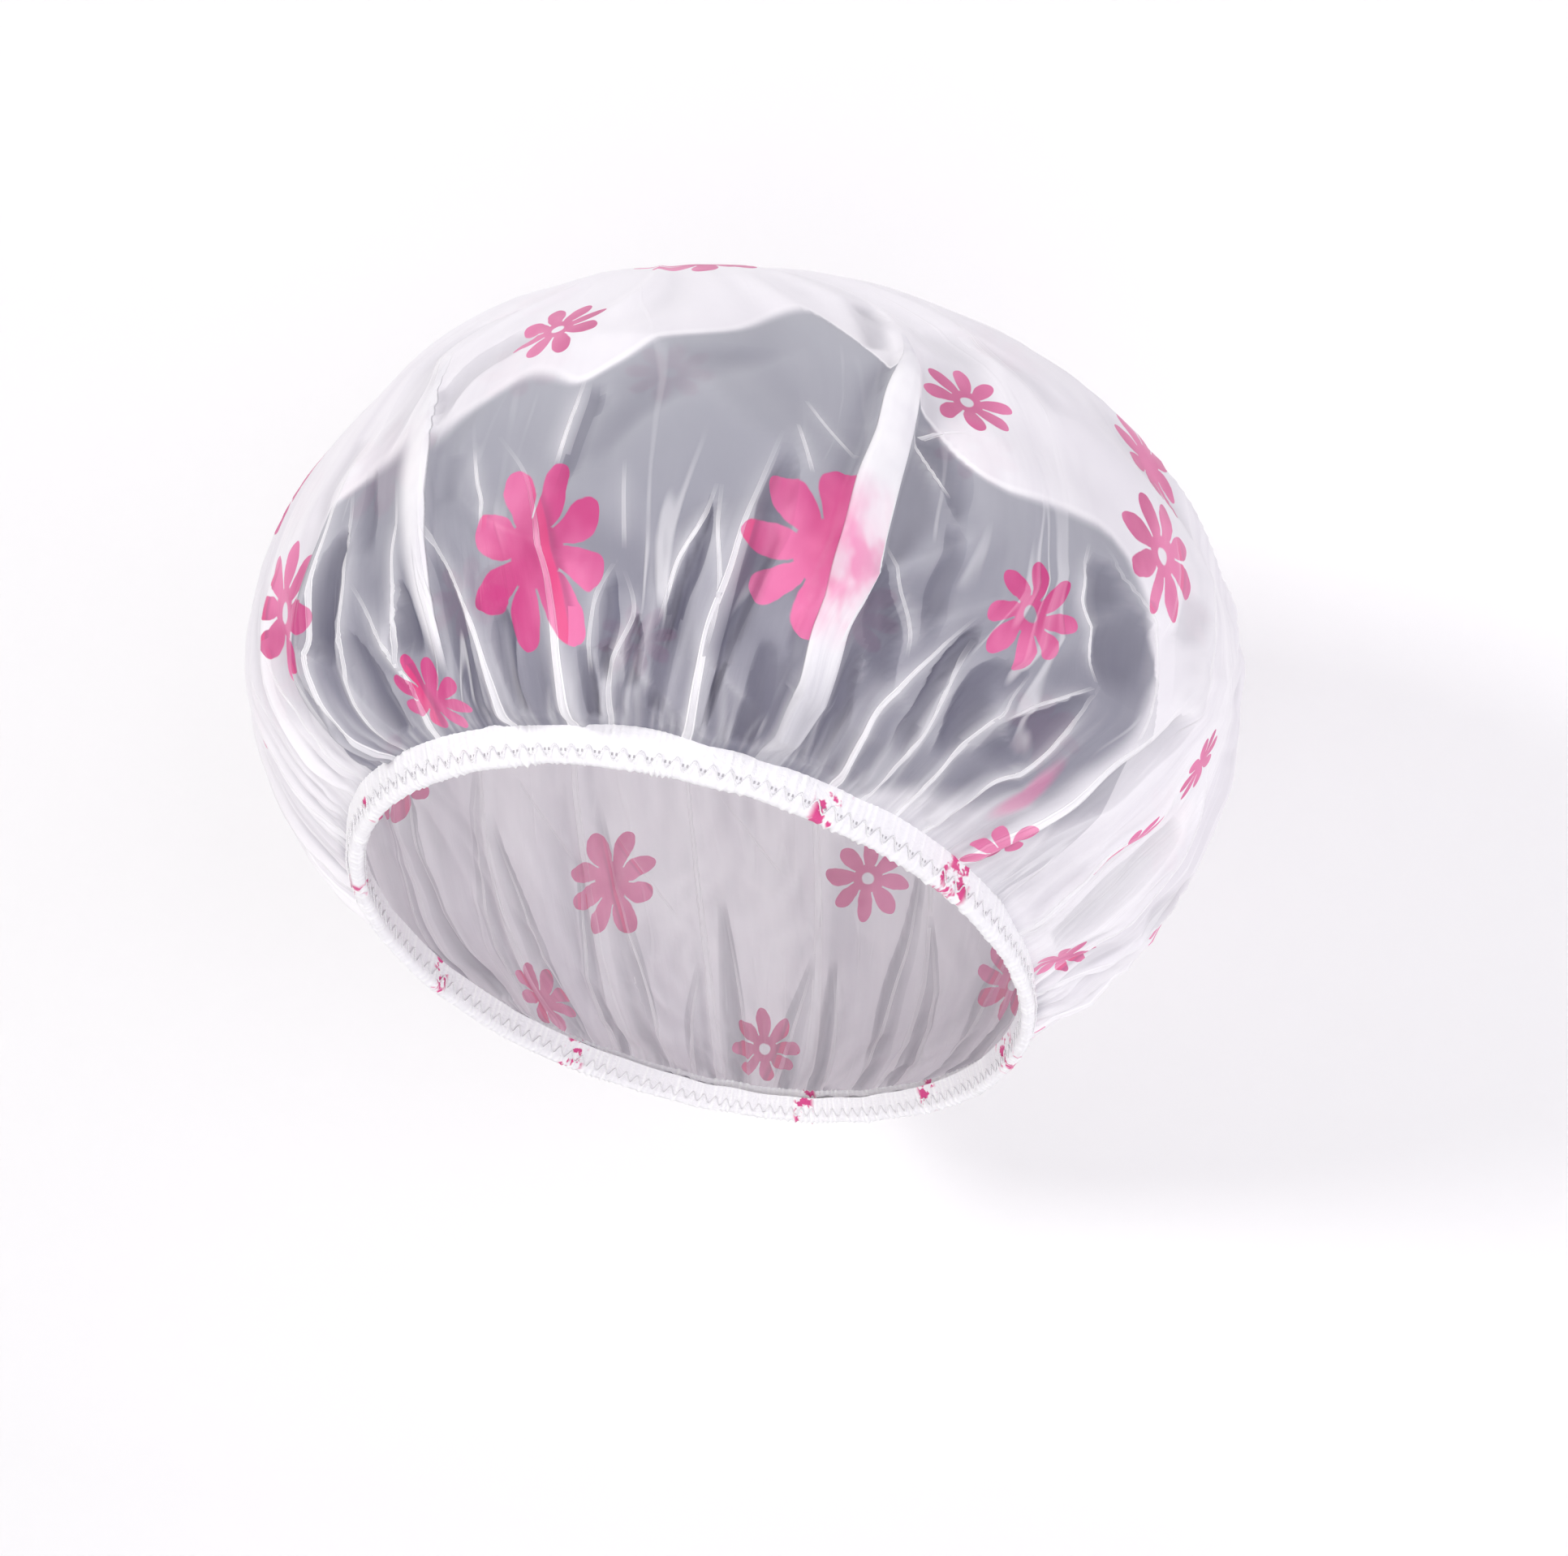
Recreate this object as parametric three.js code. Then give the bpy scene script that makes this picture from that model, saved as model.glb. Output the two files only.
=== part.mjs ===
// Bouffant shower cap, open in the rounded shape that it has in use. A disc of soft film is
// gathered into a turned hem, a flat elastic strip lies in the hem with its ends lapped at the
// nape, and a zigzag lockstitch of two threads runs round the hem.
// Millimetres, +Z up, -Y to the brow side, +Y to the nape side, origin in the middle of the opening.
import * as THREE from 'three';

// Opening: an oval that leans from the brow side down to the nape side
const openingHalfWidth = 76;
const openingHalfDepth = 96;
const browRise = 60;

// Elastic strip and its lapped ends
const elasticWidth = 5;
const elasticThickness = 0.9;
const elasticLap = 14;
const lapRamp = 10;

// Film, drawn thicker than its real tenth of a millimetre so that it can be a solid
const filmWall = 0.5;
const rawEdgeDrop = 1.2;
const fitGap = 0.3;

// Crown: where its top lies, and the run of the film at the hem and at the top, in four directions
const crownRise = 161;
const crownForward = 9;
const browFlare = 40;
const leftFlare = 92;
const napeFlare = 86;
const rightFlare = 64;
const browLift = 24;
const leftLift = 42;
const napeDip = 4;
const rightLift = 48;
const browSpread = 80;
const leftSpread = 117;
const napeSpread = 128;
const rightSpread = 76;

// Folds that the gathered hem sends up into the crown
const foldHeight = 6.5;
const foldShares = [
  // at the hem, at its upper end, height, reach up the crown, breadth of a pleat that lies flat
  [-0.162, -0.150, 0.8, 0.50, 0],
  [-0.126, -0.112, 0.7, 0.55, 0],
  [-0.092, -0.078, 1.0, 0.64, 0],
  [-0.056, -0.070, 0.7, 0.55, 0],
  [-0.026, -0.056, 1.0, 0.72, 0.012],
  [0.014, -0.010, 0.9, 0.60, 0],
  [0.046, 0.060, 0.6, 0.52, 0],
  [0.064, 0.086, 0.7, 0.58, 0],
  [0.086, 0.146, 1.4, 0.82, 0.016],
  [0.114, 0.158, 0.6, 0.42, 0],
  [0.138, 0.176, 0.9, 0.56, 0],
  [0.168, 0.226, 1.0, 0.48, 0],
  [0.206, 0.258, 0.8, 0.46, 0],
  [0.246, 0.286, 0.9, 0.44, 0],
  [0.290, 0.312, 0.8, 0.48, 0],
  [0.334, 0.348, 1.0, 0.58, 0],
  [0.380, 0.386, 0.8, 0.50, 0],
  [0.424, 0.420, 0.9, 0.62, 0],
  [0.468, 0.460, 0.7, 0.52, 0],
  [0.512, 0.508, 1.0, 0.60, 0],
  [0.556, 0.560, 0.8, 0.50, 0],
  [0.600, 0.610, 1.0, 0.64, 0],
  [0.644, 0.652, 0.8, 0.52, 0],
  [0.688, 0.694, 0.9, 0.58, 0],
  [0.730, 0.734, 0.8, 0.50, 0],
  [0.768, 0.772, 0.9, 0.60, 0],
  [0.804, 0.812, 0.7, 0.50, 0],
];
const valleyDepthShare = 0.45;
const foldStartShare = 0.3;
const crownRowShares = [0.08, 0.19, 0.34, 0.51, 0.69, 0.86];

// Seam: two threads that zigzag along the hem, one on each face
const threadDiameter = 0.3;
const stitchPitch = 4;
const stitchWidth = 2.4;

// Sizes that follow
const plySpacing = 2 * elasticThickness + 3 * fitGap + filmWall;
const hemWidth = elasticWidth + plySpacing + 2 * fitGap;
const hemTop = hemWidth / 2;
const hemFlatBottom = plySpacing / 2 - hemTop;
const fullTurn = 2 * Math.PI;

// Width of the hem and the way out from it, at a place given as a share of the whole turn
function openingFrame(turn) {
  const s = Math.sin(fullTurn * turn);
  const c = Math.cos(fullTurn * turn);
  const place = new THREE.Vector3(openingHalfWidth * s, -openingHalfDepth * c, browRise * c);
  const along = new THREE.Vector3(openingHalfWidth * c, openingHalfDepth * s, -browRise * s).normalize();
  const out = new THREE.Vector3(s / openingHalfWidth, -c / openingHalfDepth, 0).normalize();
  return { place, out, up: out.clone().cross(along) };
}

// The hem is a ring of flat facets between its columns, and all that lies in it follows them
function ringFrame(turn, columns) {
  const first = columns[0].hemTurn;
  const inTurn = turn - Math.floor(turn - first);
  const stops = [...columns.map((column) => column.hemTurn), first + 1];
  const next = Math.max(1, stops.findIndex((stop) => stop > inTurn));
  const a = openingFrame(stops[next - 1]);
  const b = openingFrame(stops[next]);
  const mix = (inTurn - stops[next - 1]) / (stops[next] - stops[next - 1]);
  return {
    place: a.place.lerp(b.place, mix),
    out: a.out.lerp(b.out, mix).normalize(),
    up: a.up.lerp(b.up, mix).normalize(),
  };
}

function offsetFrom(frame, outward, upward) {
  return frame.place.clone().addScaledVector(frame.out, outward).addScaledVector(frame.up, upward);
}

// One value for each of four directions, blended smoothly round the turn
function byDirection(turn, brow, left, nape, right) {
  const s = Math.sin(fullTurn * turn);
  const c = Math.cos(fullTurn * turn);
  const side = (left + right) / 2;
  return side + ((brow - nape) / 2) * c + ((brow + nape) / 2 - side) * c * c + ((left - right) / 2) * s;
}

// The crown without folds: one cubic curve from the top of the hem to the top of the cap
function crownPoint(turn, climb) {
  const radial = new THREE.Vector3(Math.sin(fullTurn * turn), -Math.cos(fullTurn * turn), 0);
  const start = offsetFrom(openingFrame(turn), plySpacing / 2, hemTop);
  const flare = byDirection(turn, browFlare, leftFlare, napeFlare, rightFlare);
  const lift = byDirection(turn, browLift, leftLift, -napeDip, rightLift);
  const top = new THREE.Vector3(0, -crownForward, crownRise);
  const leaving = start.clone().addScaledVector(radial, flare).add(new THREE.Vector3(0, 0, lift));
  const spread = byDirection(turn, browSpread, leftSpread, napeSpread, rightSpread);
  const arriving = top.clone().addScaledVector(radial, spread);
  return new THREE.CubicBezierCurve3(start, leaving, arriving, top).getPoint(climb);
}

function crownNormal(turn, climb) {
  const step = 1e-3;
  const round = crownPoint(turn + step, climb).sub(crownPoint(turn - step, climb));
  const upward = crownPoint(turn, climb + step).sub(crownPoint(turn, climb - step));
  return round.cross(upward).normalize();
}

// Columns of the film: a crest for each fold, two for a flat pleat, and a valley after each
function filmColumns() {
  const columns = [];
  foldShares.forEach(([hemTurn, crownTurn, height, reach, breadth], i) => {
    const sides = breadth > 0 ? [-0.5, 0.5] : [0];
    for (const side of sides) {
      columns.push({ hemTurn: hemTurn + side * breadth, crownTurn: crownTurn + side * breadth, height, reach });
    }
    const next = foldShares[(i + 1) % foldShares.length];
    const wrap = i + 1 < foldShares.length ? 0 : 1;
    const edge = breadth / 2;
    const nextEdge = next[4] / 2;
    columns.push({
      hemTurn: (hemTurn + edge + next[0] - nextEdge + wrap) / 2,
      crownTurn: (crownTurn + edge + next[1] - nextEdge + wrap) / 2,
      height: (-valleyDepthShare * (height + next[2])) / 2,
      reach: (reach + next[3]) / 2,
    });
  });
  return columns;
}

// A fold is low where the hem holds it, full a little higher, and dies out at its reach
function foldSwell(climb, reach) {
  if (climb >= reach) return 0;
  const rise = foldStartShare + (1 - foldStartShare) * Math.min(1, climb / (reach * foldStartShare));
  return rise * (1 - (climb / reach) ** 2);
}

function crownRow(columns, climb) {
  return columns.map(({ hemTurn, crownTurn, height, reach }) => {
    const drift = Math.min(1, climb / reach);
    const turn = hemTurn + (crownTurn - hemTurn) * drift;
    const lift = foldHeight * height * foldSwell(climb, reach);
    return crownPoint(turn, climb).addScaledVector(crownNormal(turn, climb), lift);
  });
}

// Middle of the film's wall, row by row, from the raw edge inside the hem up to the crown
function filmRows(columns) {
  const hemOutline = [
    [-plySpacing / 2, hemTop - rawEdgeDrop],
    [-plySpacing / 2, hemFlatBottom],
    [0, -hemTop],
    [plySpacing / 2, hemFlatBottom],
    [plySpacing / 2, hemTop],
  ];
  const rows = hemOutline.map(([outward, upward]) =>
    columns.map(({ hemTurn }) => offsetFrom(openingFrame(hemTurn), outward, upward)));
  for (const climb of crownRowShares) rows.push(crownRow(columns, climb));
  return rows;
}

function indexedGeometry(points, triangles) {
  const geometry = new THREE.BufferGeometry();
  geometry.setAttribute('position', new THREE.Float32BufferAttribute(points.flatMap((p) => p.toArray()), 3));
  geometry.setIndex(triangles.flat());
  geometry.computeVertexNormals();
  return geometry;
}

// Triangles between neighbouring rings of equal length, each ring closed on itself
function bandTriangles(ringCount, ringLength, closed) {
  const triangles = [];
  const last = closed ? ringCount : ringCount - 1;
  for (let ring = 0; ring < last; ring += 1) {
    for (let i = 0; i < ringLength; i += 1) {
      const a = ring * ringLength + i;
      const b = ring * ringLength + ((i + 1) % ringLength);
      const c = ((ring + 1) % ringCount) * ringLength + i;
      const d = ((ring + 1) % ringCount) * ringLength + ((i + 1) % ringLength);
      triangles.push([a, b, d], [a, d, c]);
    }
  }
  return triangles;
}

// Film: the middle surface is closed at the crown, then doubled into an outer and an inner skin
function filmGeometry(columns) {
  const rows = filmRows(columns);
  const points = [...rows.flat(), crownPoint(0, 1)];
  const sheet = bandTriangles(rows.length, columns.length, false);
  const top = points.length - 1;
  const lastRow = (rows.length - 1) * columns.length;
  for (let i = 0; i < columns.length; i += 1) {
    sheet.push([lastRow + i, lastRow + ((i + 1) % columns.length), top]);
  }
  const normals = indexedGeometry(points, sheet).getAttribute('normal');
  const skin = (side) => points.map((p, i) =>
    p.clone().addScaledVector(new THREE.Vector3().fromBufferAttribute(normals, i), side * filmWall / 2));
  const inner = points.length;
  const triangles = [...sheet, ...sheet.map(([a, b, c]) => [inner + a, inner + c, inner + b])];
  for (let i = 0; i < columns.length; i += 1) {
    const next = (i + 1) % columns.length;
    triangles.push([i, inner + i, inner + next], [i, inner + next, next]);
  }
  return indexedGeometry([...skin(1), ...skin(-1)], triangles);
}

function ringLengthOf(columns) {
  return columns.reduce((sum, { hemTurn }, i) => {
    const next = columns[(i + 1) % columns.length].hemTurn;
    return sum + openingFrame(hemTurn).place.distanceTo(openingFrame(next).place);
  }, 0);
}

// Elastic: a strip that goes once round and laps its own start at the nape, on its inner side
function elasticGeometry(columns) {
  const ringLength = ringLengthOf(columns);
  const lapTurn = elasticLap / ringLength;
  const rampTurn = lapRamp / ringLength;
  const start = 0.5 - lapTurn / 2;
  const end = start + 1 + lapTurn;
  const outerPlace = plySpacing / 2 - filmWall / 2 - fitGap - elasticThickness / 2;
  const lapShift = elasticThickness + fitGap;
  const stops = new Set([start, start + lapTurn, end - lapTurn - rampTurn, end - lapTurn, end]);
  for (const { hemTurn } of columns) {
    for (const lap of [0, 1, 2]) {
      if (hemTurn + lap > start && hemTurn + lap < end) stops.add(hemTurn + lap);
    }
  }
  const stations = [...stops].sort((a, b) => a - b);
  const points = stations.flatMap((turn) => {
    const shifted = Math.min(1, Math.max(0, (turn - (end - lapTurn - rampTurn)) / rampTurn));
    const place = outerPlace - lapShift * shifted;
    const frame = ringFrame(turn, columns);
    const half = elasticThickness / 2;
    return [
      offsetFrom(frame, place + half, -elasticWidth / 2),
      offsetFrom(frame, place + half, elasticWidth / 2),
      offsetFrom(frame, place - half, elasticWidth / 2),
      offsetFrom(frame, place - half, -elasticWidth / 2),
    ];
  });
  const triangles = bandTriangles(stations.length, 4, false).map(([a, b, c]) => [a, c, b]);
  const e = (stations.length - 1) * 4;
  triangles.push([0, 1, 2], [0, 2, 3], [e, e + 2, e + 1], [e, e + 3, e + 2]);
  return indexedGeometry(points, triangles);
}

// Thread: a tube of four sides that zigzags over one face of the hem and closes on itself
function threadGeometry(columns, side) {
  const stitches = Math.round(ringLengthOf(columns) / stitchPitch);
  const radius = threadDiameter / 2;
  const away = side * (plySpacing / 2 + filmWall / 2 + fitGap + radius);
  const slant = Math.hypot(stitchPitch / 2, stitchWidth) / (stitchPitch / 2);
  const low = hemFlatBottom + radius * slant;
  const points = [];
  for (let i = 0; i < 2 * stitches; i += 1) {
    const frame = ringFrame(columns[0].hemTurn + i / (2 * stitches), columns);
    const height = low + stitchWidth * (i % 2);
    points.push(
      offsetFrom(frame, away + radius, height),
      offsetFrom(frame, away, height + radius * slant),
      offsetFrom(frame, away - radius, height),
      offsetFrom(frame, away, height - radius * slant),
    );
  }
  return indexedGeometry(points, bandTriangles(2 * stitches, 4, true).map(([a, b, c]) => [a, c, b]));
}

function piece(name, geometry, colour, roughness) {
  const material = new THREE.MeshStandardMaterial({ color: colour, roughness, metalness: 0 });
  const mesh = new THREE.Mesh(geometry, material);
  mesh.name = name;
  return mesh;
}

const columns = filmColumns();
const group = new THREE.Group();
group.add(piece('film_cap', filmGeometry(columns), 0xe9e9f0, 0.35));
group.add(piece('elastic_band', elasticGeometry(columns), 0xf7f6f2, 0.85));
group.add(piece('needle_thread', threadGeometry(columns, 1), 0xfbfafa, 0.6));
group.add(piece('bobbin_thread', threadGeometry(columns, -1), 0xfbfafa, 0.6));

export default group;
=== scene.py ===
import math
from functools import partialmethod

import bmesh
import bpy
import numpy as np
from mathutils import Matrix, Vector


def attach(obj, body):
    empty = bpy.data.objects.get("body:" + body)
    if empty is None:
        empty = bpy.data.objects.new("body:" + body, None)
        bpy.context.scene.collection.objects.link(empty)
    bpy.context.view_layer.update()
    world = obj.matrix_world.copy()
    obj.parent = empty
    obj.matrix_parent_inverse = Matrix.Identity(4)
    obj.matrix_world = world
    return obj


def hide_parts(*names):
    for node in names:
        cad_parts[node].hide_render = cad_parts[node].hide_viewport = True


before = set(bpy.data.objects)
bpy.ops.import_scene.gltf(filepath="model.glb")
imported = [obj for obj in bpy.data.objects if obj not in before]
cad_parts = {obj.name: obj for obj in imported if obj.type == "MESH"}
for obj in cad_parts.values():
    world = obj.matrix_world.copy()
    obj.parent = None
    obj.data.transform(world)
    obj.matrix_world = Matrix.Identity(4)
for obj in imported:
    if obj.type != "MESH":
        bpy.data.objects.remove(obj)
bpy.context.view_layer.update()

# Metres, +Z up, -Y to the brow side, +Y to the nape side, as in the part's source.
# A place on the film is a turn, counted from the brow towards +X, and a climb, 0 at the hem
# and 1 at the top of the crown.

# Opening, hem and elastic
OPENING_HALF_WIDTH = 0.076
OPENING_HALF_DEPTH = 0.096
BROW_RISE = 0.060
HEM_HALF_WIDTH = 0.0044
PLY_HALF_SPACING = 0.0016
ELASTIC_WIDTH = 0.005
ELASTIC_THICKNESS = 0.0009
STITCH_WIDTH = 0.0024
STITCH_COUNT = 150

# Crown: brow, left, nape and right values of the curve that each side follows
CROWN_TOP = np.array([0.0, -0.009, 0.161])
FLARE = (0.040, 0.092, 0.086, 0.064)
LIFT = (0.024, 0.042, -0.004, 0.048)
SPREAD = (0.080, 0.117, 0.128, 0.076)

# Flat disc that the film is cut to
DISC_RADIUS = 0.245

# The film's grid is twice as fine next to the hem, up to GATHER_SHARE of its length, as above it
COLUMNS, GATHER_ROWS, CROWN_ROWS = 600, 28, 108
GATHER_SHARE = 0.125
# The film starts inside the top of the hem: the length over which it sinks, and how far in and down
SINK_LENGTH, SINK_IN, SINK_DOWN = 0.003, 0.0006, 0.0009

# Folds: depth of a hollow, sag between folds, and the further sag at the nape side
HOLLOW_DEPTH, SAG, NAPE_SAG = 0.0022, 0.0015, 0.0036
# Rounding of a crest. One below LOW_CREST may run across the columns, and is rounded more so that they can
# follow it.
ROUNDING, LOW_CREST, LOW_ROUNDING = 0.0005, 0.0019, 0.0014
# Gathers that leave the hem, by size: number, shortest and longest reach, height, width
GATHERS = [(56, 0.022, 0.060, 0.0017, 0.0020), (112, 0.010, 0.032, 0.0014, 0.0012),
           (216, 0.005, 0.015, 0.0011, 0.0008)]
# Half width of a drawn crest at its upper end
CREST_HALF = 0.00034
# UV maps of folds and daisies hold tenths of a half width or a petal's length, and edge distances are kept as
# shares of EDGE_REACH
MAP_UNIT, EDGE_REACH = 0.1, 0.05
# Tones: reaches over which the lift is averaged, and the relief that gives a full ridge or valley
FINE_REACH, BROAD_REACH = 0.0026, 0.0075
FULL_RIDGE, FULL_VALLEY, FULL_BROAD = 0.0010, 0.0006, 0.0012

# Hem: length of its ring, number of ruffles, how far they and the swell of the outer wall stand out, and the
# drop from the hem's top to the raw edge inside it
RING_LENGTH = 0.6
RUFFLES, RUFFLE_LIFT, HEM_BELLY = 320, 0.0004, 0.0003
RAW_EDGE_DROP = 0.0012
# Places where daisies run into the hem: middle and half width in degrees
HEM_INK = [(40.5, 3.2), (59.5, 2.2), (63.5, 3.4), (120, 5.5), (-63, 2), (-38, 1.2), (150, 3.4), (-128, 3),
           (182, 3), (-95, 2.6)]

# Threads: radius, how far they stand off the hem's wall, and the height of the zigzag's lower points
THREAD_RADIUS, THREAD_STANDOFF, STITCH_LOW = 0.00016, 0.00022, -0.00255
# Elastic: how far it lies outside the middle of the hem
ELASTIC_SHIFT = 0.00045

# Lines below give turn in degrees and climb.

# Lines that the columns of the film follow
GUIDES = [
    [(-75, 0), (-74, 0.3), (-72, 0.6)], [(-58, 0), (-56, 0.3), (-52, 0.6)],
    [(-43, 0), (-43, 0.2), (-39, 0.4), (-36, 0.6)],
    [(-26.5, 0), (-28, 0.12), (-28.5, 0.2), (-28, 0.258), (-25, 0.343), (-25.5, 0.432), (-25, 0.49),
     (-24.5, 0.568), (-27, 0.7)],
    [(-14.3, 0), (-9.2, 0.15), (-9, 0.19), (-10.5, 0.26), (-12.7, 0.36), (-15.2, 0.45), (-16, 0.5),
     (-18, 0.56), (-19, 0.65)],
    [(-3.5, 0), (-2.5, 0.12), (-2.5, 0.2), (-3, 0.27), (-4, 0.35), (-5.5, 0.45), (-6, 0.6)],
    [(5, 0), (6, 0.155), (6, 0.22), (5, 0.305), (4.2, 0.362), (5, 0.44), (6.5, 0.53), (8, 0.65)],
    [(9.7, 0), (10.2, 0.05), (12, 0.143), (14, 0.22), (14, 0.28), (13.8, 0.42), (15, 0.55)],
    [(19.8, 0), (21, 0.135), (22, 0.21), (24, 0.283), (25.5, 0.343), (28, 0.415), (30.5, 0.465),
     (33, 0.55)],
    [(30.7, 0), (31.5, 0.08), (32.7, 0.155), (33.7, 0.235), (35.5, 0.295), (37, 0.35), (38.7, 0.415),
     (41.7, 0.483), (44.2, 0.54), (48, 0.604), (51, 0.657), (54, 0.75)],
    [(40, 0), (39.4, 0.058), (39.7, 0.125), (41.2, 0.165), (45, 0.225), (48.2, 0.275), (50, 0.33),
     (51.5, 0.41), (55, 0.6)],
    [(44.6, 0), (44.9, 0.08), (46, 0.14), (47.6, 0.198), (49.6, 0.245), (52, 0.3), (54.5, 0.41), (58, 0.6)],
    [(50, 0), (50, 0.09), (51.5, 0.133), (53.5, 0.188), (55, 0.223), (56.4, 0.28), (57.5, 0.38),
     (61.5, 0.6)],
    [(55.2, 0), (55.6, 0.06), (57, 0.098), (59.5, 0.13), (61.5, 0.178), (63.5, 0.235), (62.2, 0.263),
     (60.6, 0.302), (60.4, 0.357), (62, 0.4), (66, 0.6)],
    [(63, 0), (64, 0.07), (66, 0.113), (68, 0.168), (73, 0.23), (79, 0.292), (81.5, 0.36), (84, 0.422),
     (88, 0.6)],
    [(83, 0), (80.5, 0.045), (79.5, 0.092), (81, 0.145), (83, 0.235), (86, 0.3), (89, 0.42), (93, 0.6)],
    [(101, 0), (97, 0.055), (95.5, 0.098), (93, 0.143), (91.5, 0.203), (92, 0.28), (95, 0.42), (99, 0.6)],
]

# Fold crests: points, height and width in mm, whiteness, which also sets the painted highlight on the crest
# and the painted light and shade beside it
CRESTS = [
    ([(-26.5, 0), (-28, 0.12), (-28.5, 0.2), (-28, 0.258), (-25, 0.343), (-25.5, 0.432), (-25, 0.49),
     (-23, 0.568)], 3.4, 3.2, 0.9),
    ([(-29.5, 0), (-30.5, 0.1), (-32, 0.18), (-35, 0.245)], 1.8, 2.6, 0.7),
    ([(-23.5, 0), (-23, 0.155), (-21.5, 0.27), (-22, 0.367), (-24.5, 0.425)], 2.2, 2.4, 0.85),
    ([(-16.5, 0), (-14, 0.085), (-15, 0.152), (-17, 0.205), (-21, 0.278)], 2.2, 2.2, 0.9),
    ([(-14.8, 0.1), (-14.5, 0.175), (-14, 0.278), (-14.5, 0.365), (-16, 0.42)], 1.8, 2, 0.85),
    ([(-15, 0.47), (-17.5, 0.552), (-20.5, 0.613), (-17.5, 0.682), (-3.5, 0.777)], 2.2, 3, 0.75),
    ([(-3.5, 0), (-2.5, 0.12), (-3.5, 0.208), (-6, 0.27), (-9, 0.325), (-11, 0.38)], 2.2, 2.2, 0.95),
    ([(-2.5, 0.32), (-2, 0.35), (-3.5, 0.395), (-5, 0.45)], 1.4, 1.8, 0.7),
    ([(5, 0), (6, 0.155), (6, 0.22), (5, 0.305), (3.5, 0.362), (1.5, 0.415), (-2.5, 0.465)], 3.2, 2.6, 1),
    ([(5.5, 0.415), (6.3, 0.48), (7.5, 0.555)], 1.6, 1.8, 0.9),
    ([(10, 0), (12, 0.143), (14.5, 0.22), (13.5, 0.275)], 1.8, 2, 0.75),
    ([(9, 0.1), (10, 0.193), (11, 0.242), (12.8, 0.29)], 1.4, 1.8, 0.6),
    ([(13.5, 0.3), (13.5, 0.43)], 0.8, 1.8, 0.35),
    ([(17, 0.2), (18, 0.247), (19, 0.288), (21.5, 0.343), (23.2, 0.4)], 1.8, 1.8, 0.9),
    ([(21.5, 0.16), (23, 0.258), (23, 0.34), (23.6, 0.4)], 1.5, 1.6, 0.8),
    ([(19.8, 0), (21, 0.135), (22, 0.21), (24, 0.283), (25.5, 0.343), (28, 0.415),
     (30.5, 0.475)], 2.8, 2.4, 1),
    ([(32.5, 0.41), (32, 0.49)], 1, 1.5, 0.6), ([(37.5, 0.44), (35.5, 0.478), (33.5, 0.53)], 1, 1.8, 0.45),
    ([(46.4, 0.41), (44.5, 0.455), (43.3, 0.49)], 1.6, 1.8, 0.95),
    ([(41.6, 0.2), (41.2, 0.26), (40, 0.305), (39, 0.345)], 1.4, 1.8, 0.6),
    ([(44, 0.48), (47, 0.49), (51.5, 0.498)], 1.2, 2, 0.85),
    ([(61, 0.6), (64, 0.7), (69, 0.78)], 1.4, 2.4, 0.6),
    ([(40, 0), (39.3, 0.058), (39.6, 0.125), (41, 0.165), (45, 0.225), (48.5, 0.28)], 2.8, 2.2, 1),
    ([(44.5, 0), (44.8, 0.08), (46, 0.14), (47, 0.198), (49, 0.25)], 2, 1.8, 0.9),
    ([(50, 0), (50, 0.09), (51.5, 0.133), (53.5, 0.188), (55.5, 0.23)], 2.2, 2, 0.9),
    ([(55, 0), (55.5, 0.06), (56.5, 0.098), (59.5, 0.13), (61.5, 0.178), (64, 0.243)], 2, 2, 0.85),
    ([(63.8, 0.235), (62, 0.263), (60, 0.302), (59.5, 0.357), (61, 0.395)], 2.4, 2, 1),
    ([(52.5, 0.158), (58, 0.197), (63.8, 0.24)], 1.4, 1.8, 0.7),
    ([(63, 0), (64, 0.07), (66, 0.113), (68, 0.168), (73, 0.23), (80, 0.3)], 3, 2.6, 1),
    ([(69.5, 0.18), (71, 0.258), (71, 0.31), (70, 0.335), (66, 0.36), (62.5, 0.4)], 1.8, 3.2, 0.65),
    ([(83, 0), (80, 0.045), (78.5, 0.092), (81, 0.145), (83, 0.245)], 2.4, 2.2, 0.8),
    ([(101, 0), (96.5, 0.055), (95.5, 0.098), (92, 0.143), (88.5, 0.203), (83.5, 0.29)], 2.6, 2.4, 0.9),
    ([(81, 0.28), (84.5, 0.422), (90, 0.5)], 2, 2.2, 0.8),
    ([(104, 0), (105, 0.09), (109, 0.175), (113, 0.25)], 3.6, 3.4, 0.8),
    ([(71, 0.31), (75, 0.4), (77, 0.47)], 2.2, 2.6, 0.6),
    ([(92, 0.36), (98, 0.46), (101, 0.58)], 3, 3.4, 0.6), ([(-43, 0), (-43, 0.2), (-39, 0.4)], 3, 3, 0.8),
    ([(-58, 0), (-56, 0.3), (-54, 0.45)], 3.2, 3.4, 0.8),
    ([(-37, 0), (-39, 0.12), (-42.5, 0.25)], 1.8, 2.2, 0.75),
    ([(-50, 0), (-50, 0.12), (-55.5, 0.28)], 1.8, 2.2, 0.7),
    ([(-75, 0), (-74, 0.3), (-73, 0.5)], 3.2, 3.4, 0.8),
    ([(-67, 0), (-68, 0.14), (-73.5, 0.3)], 1.8, 2.2, 0.7),
]

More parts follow.
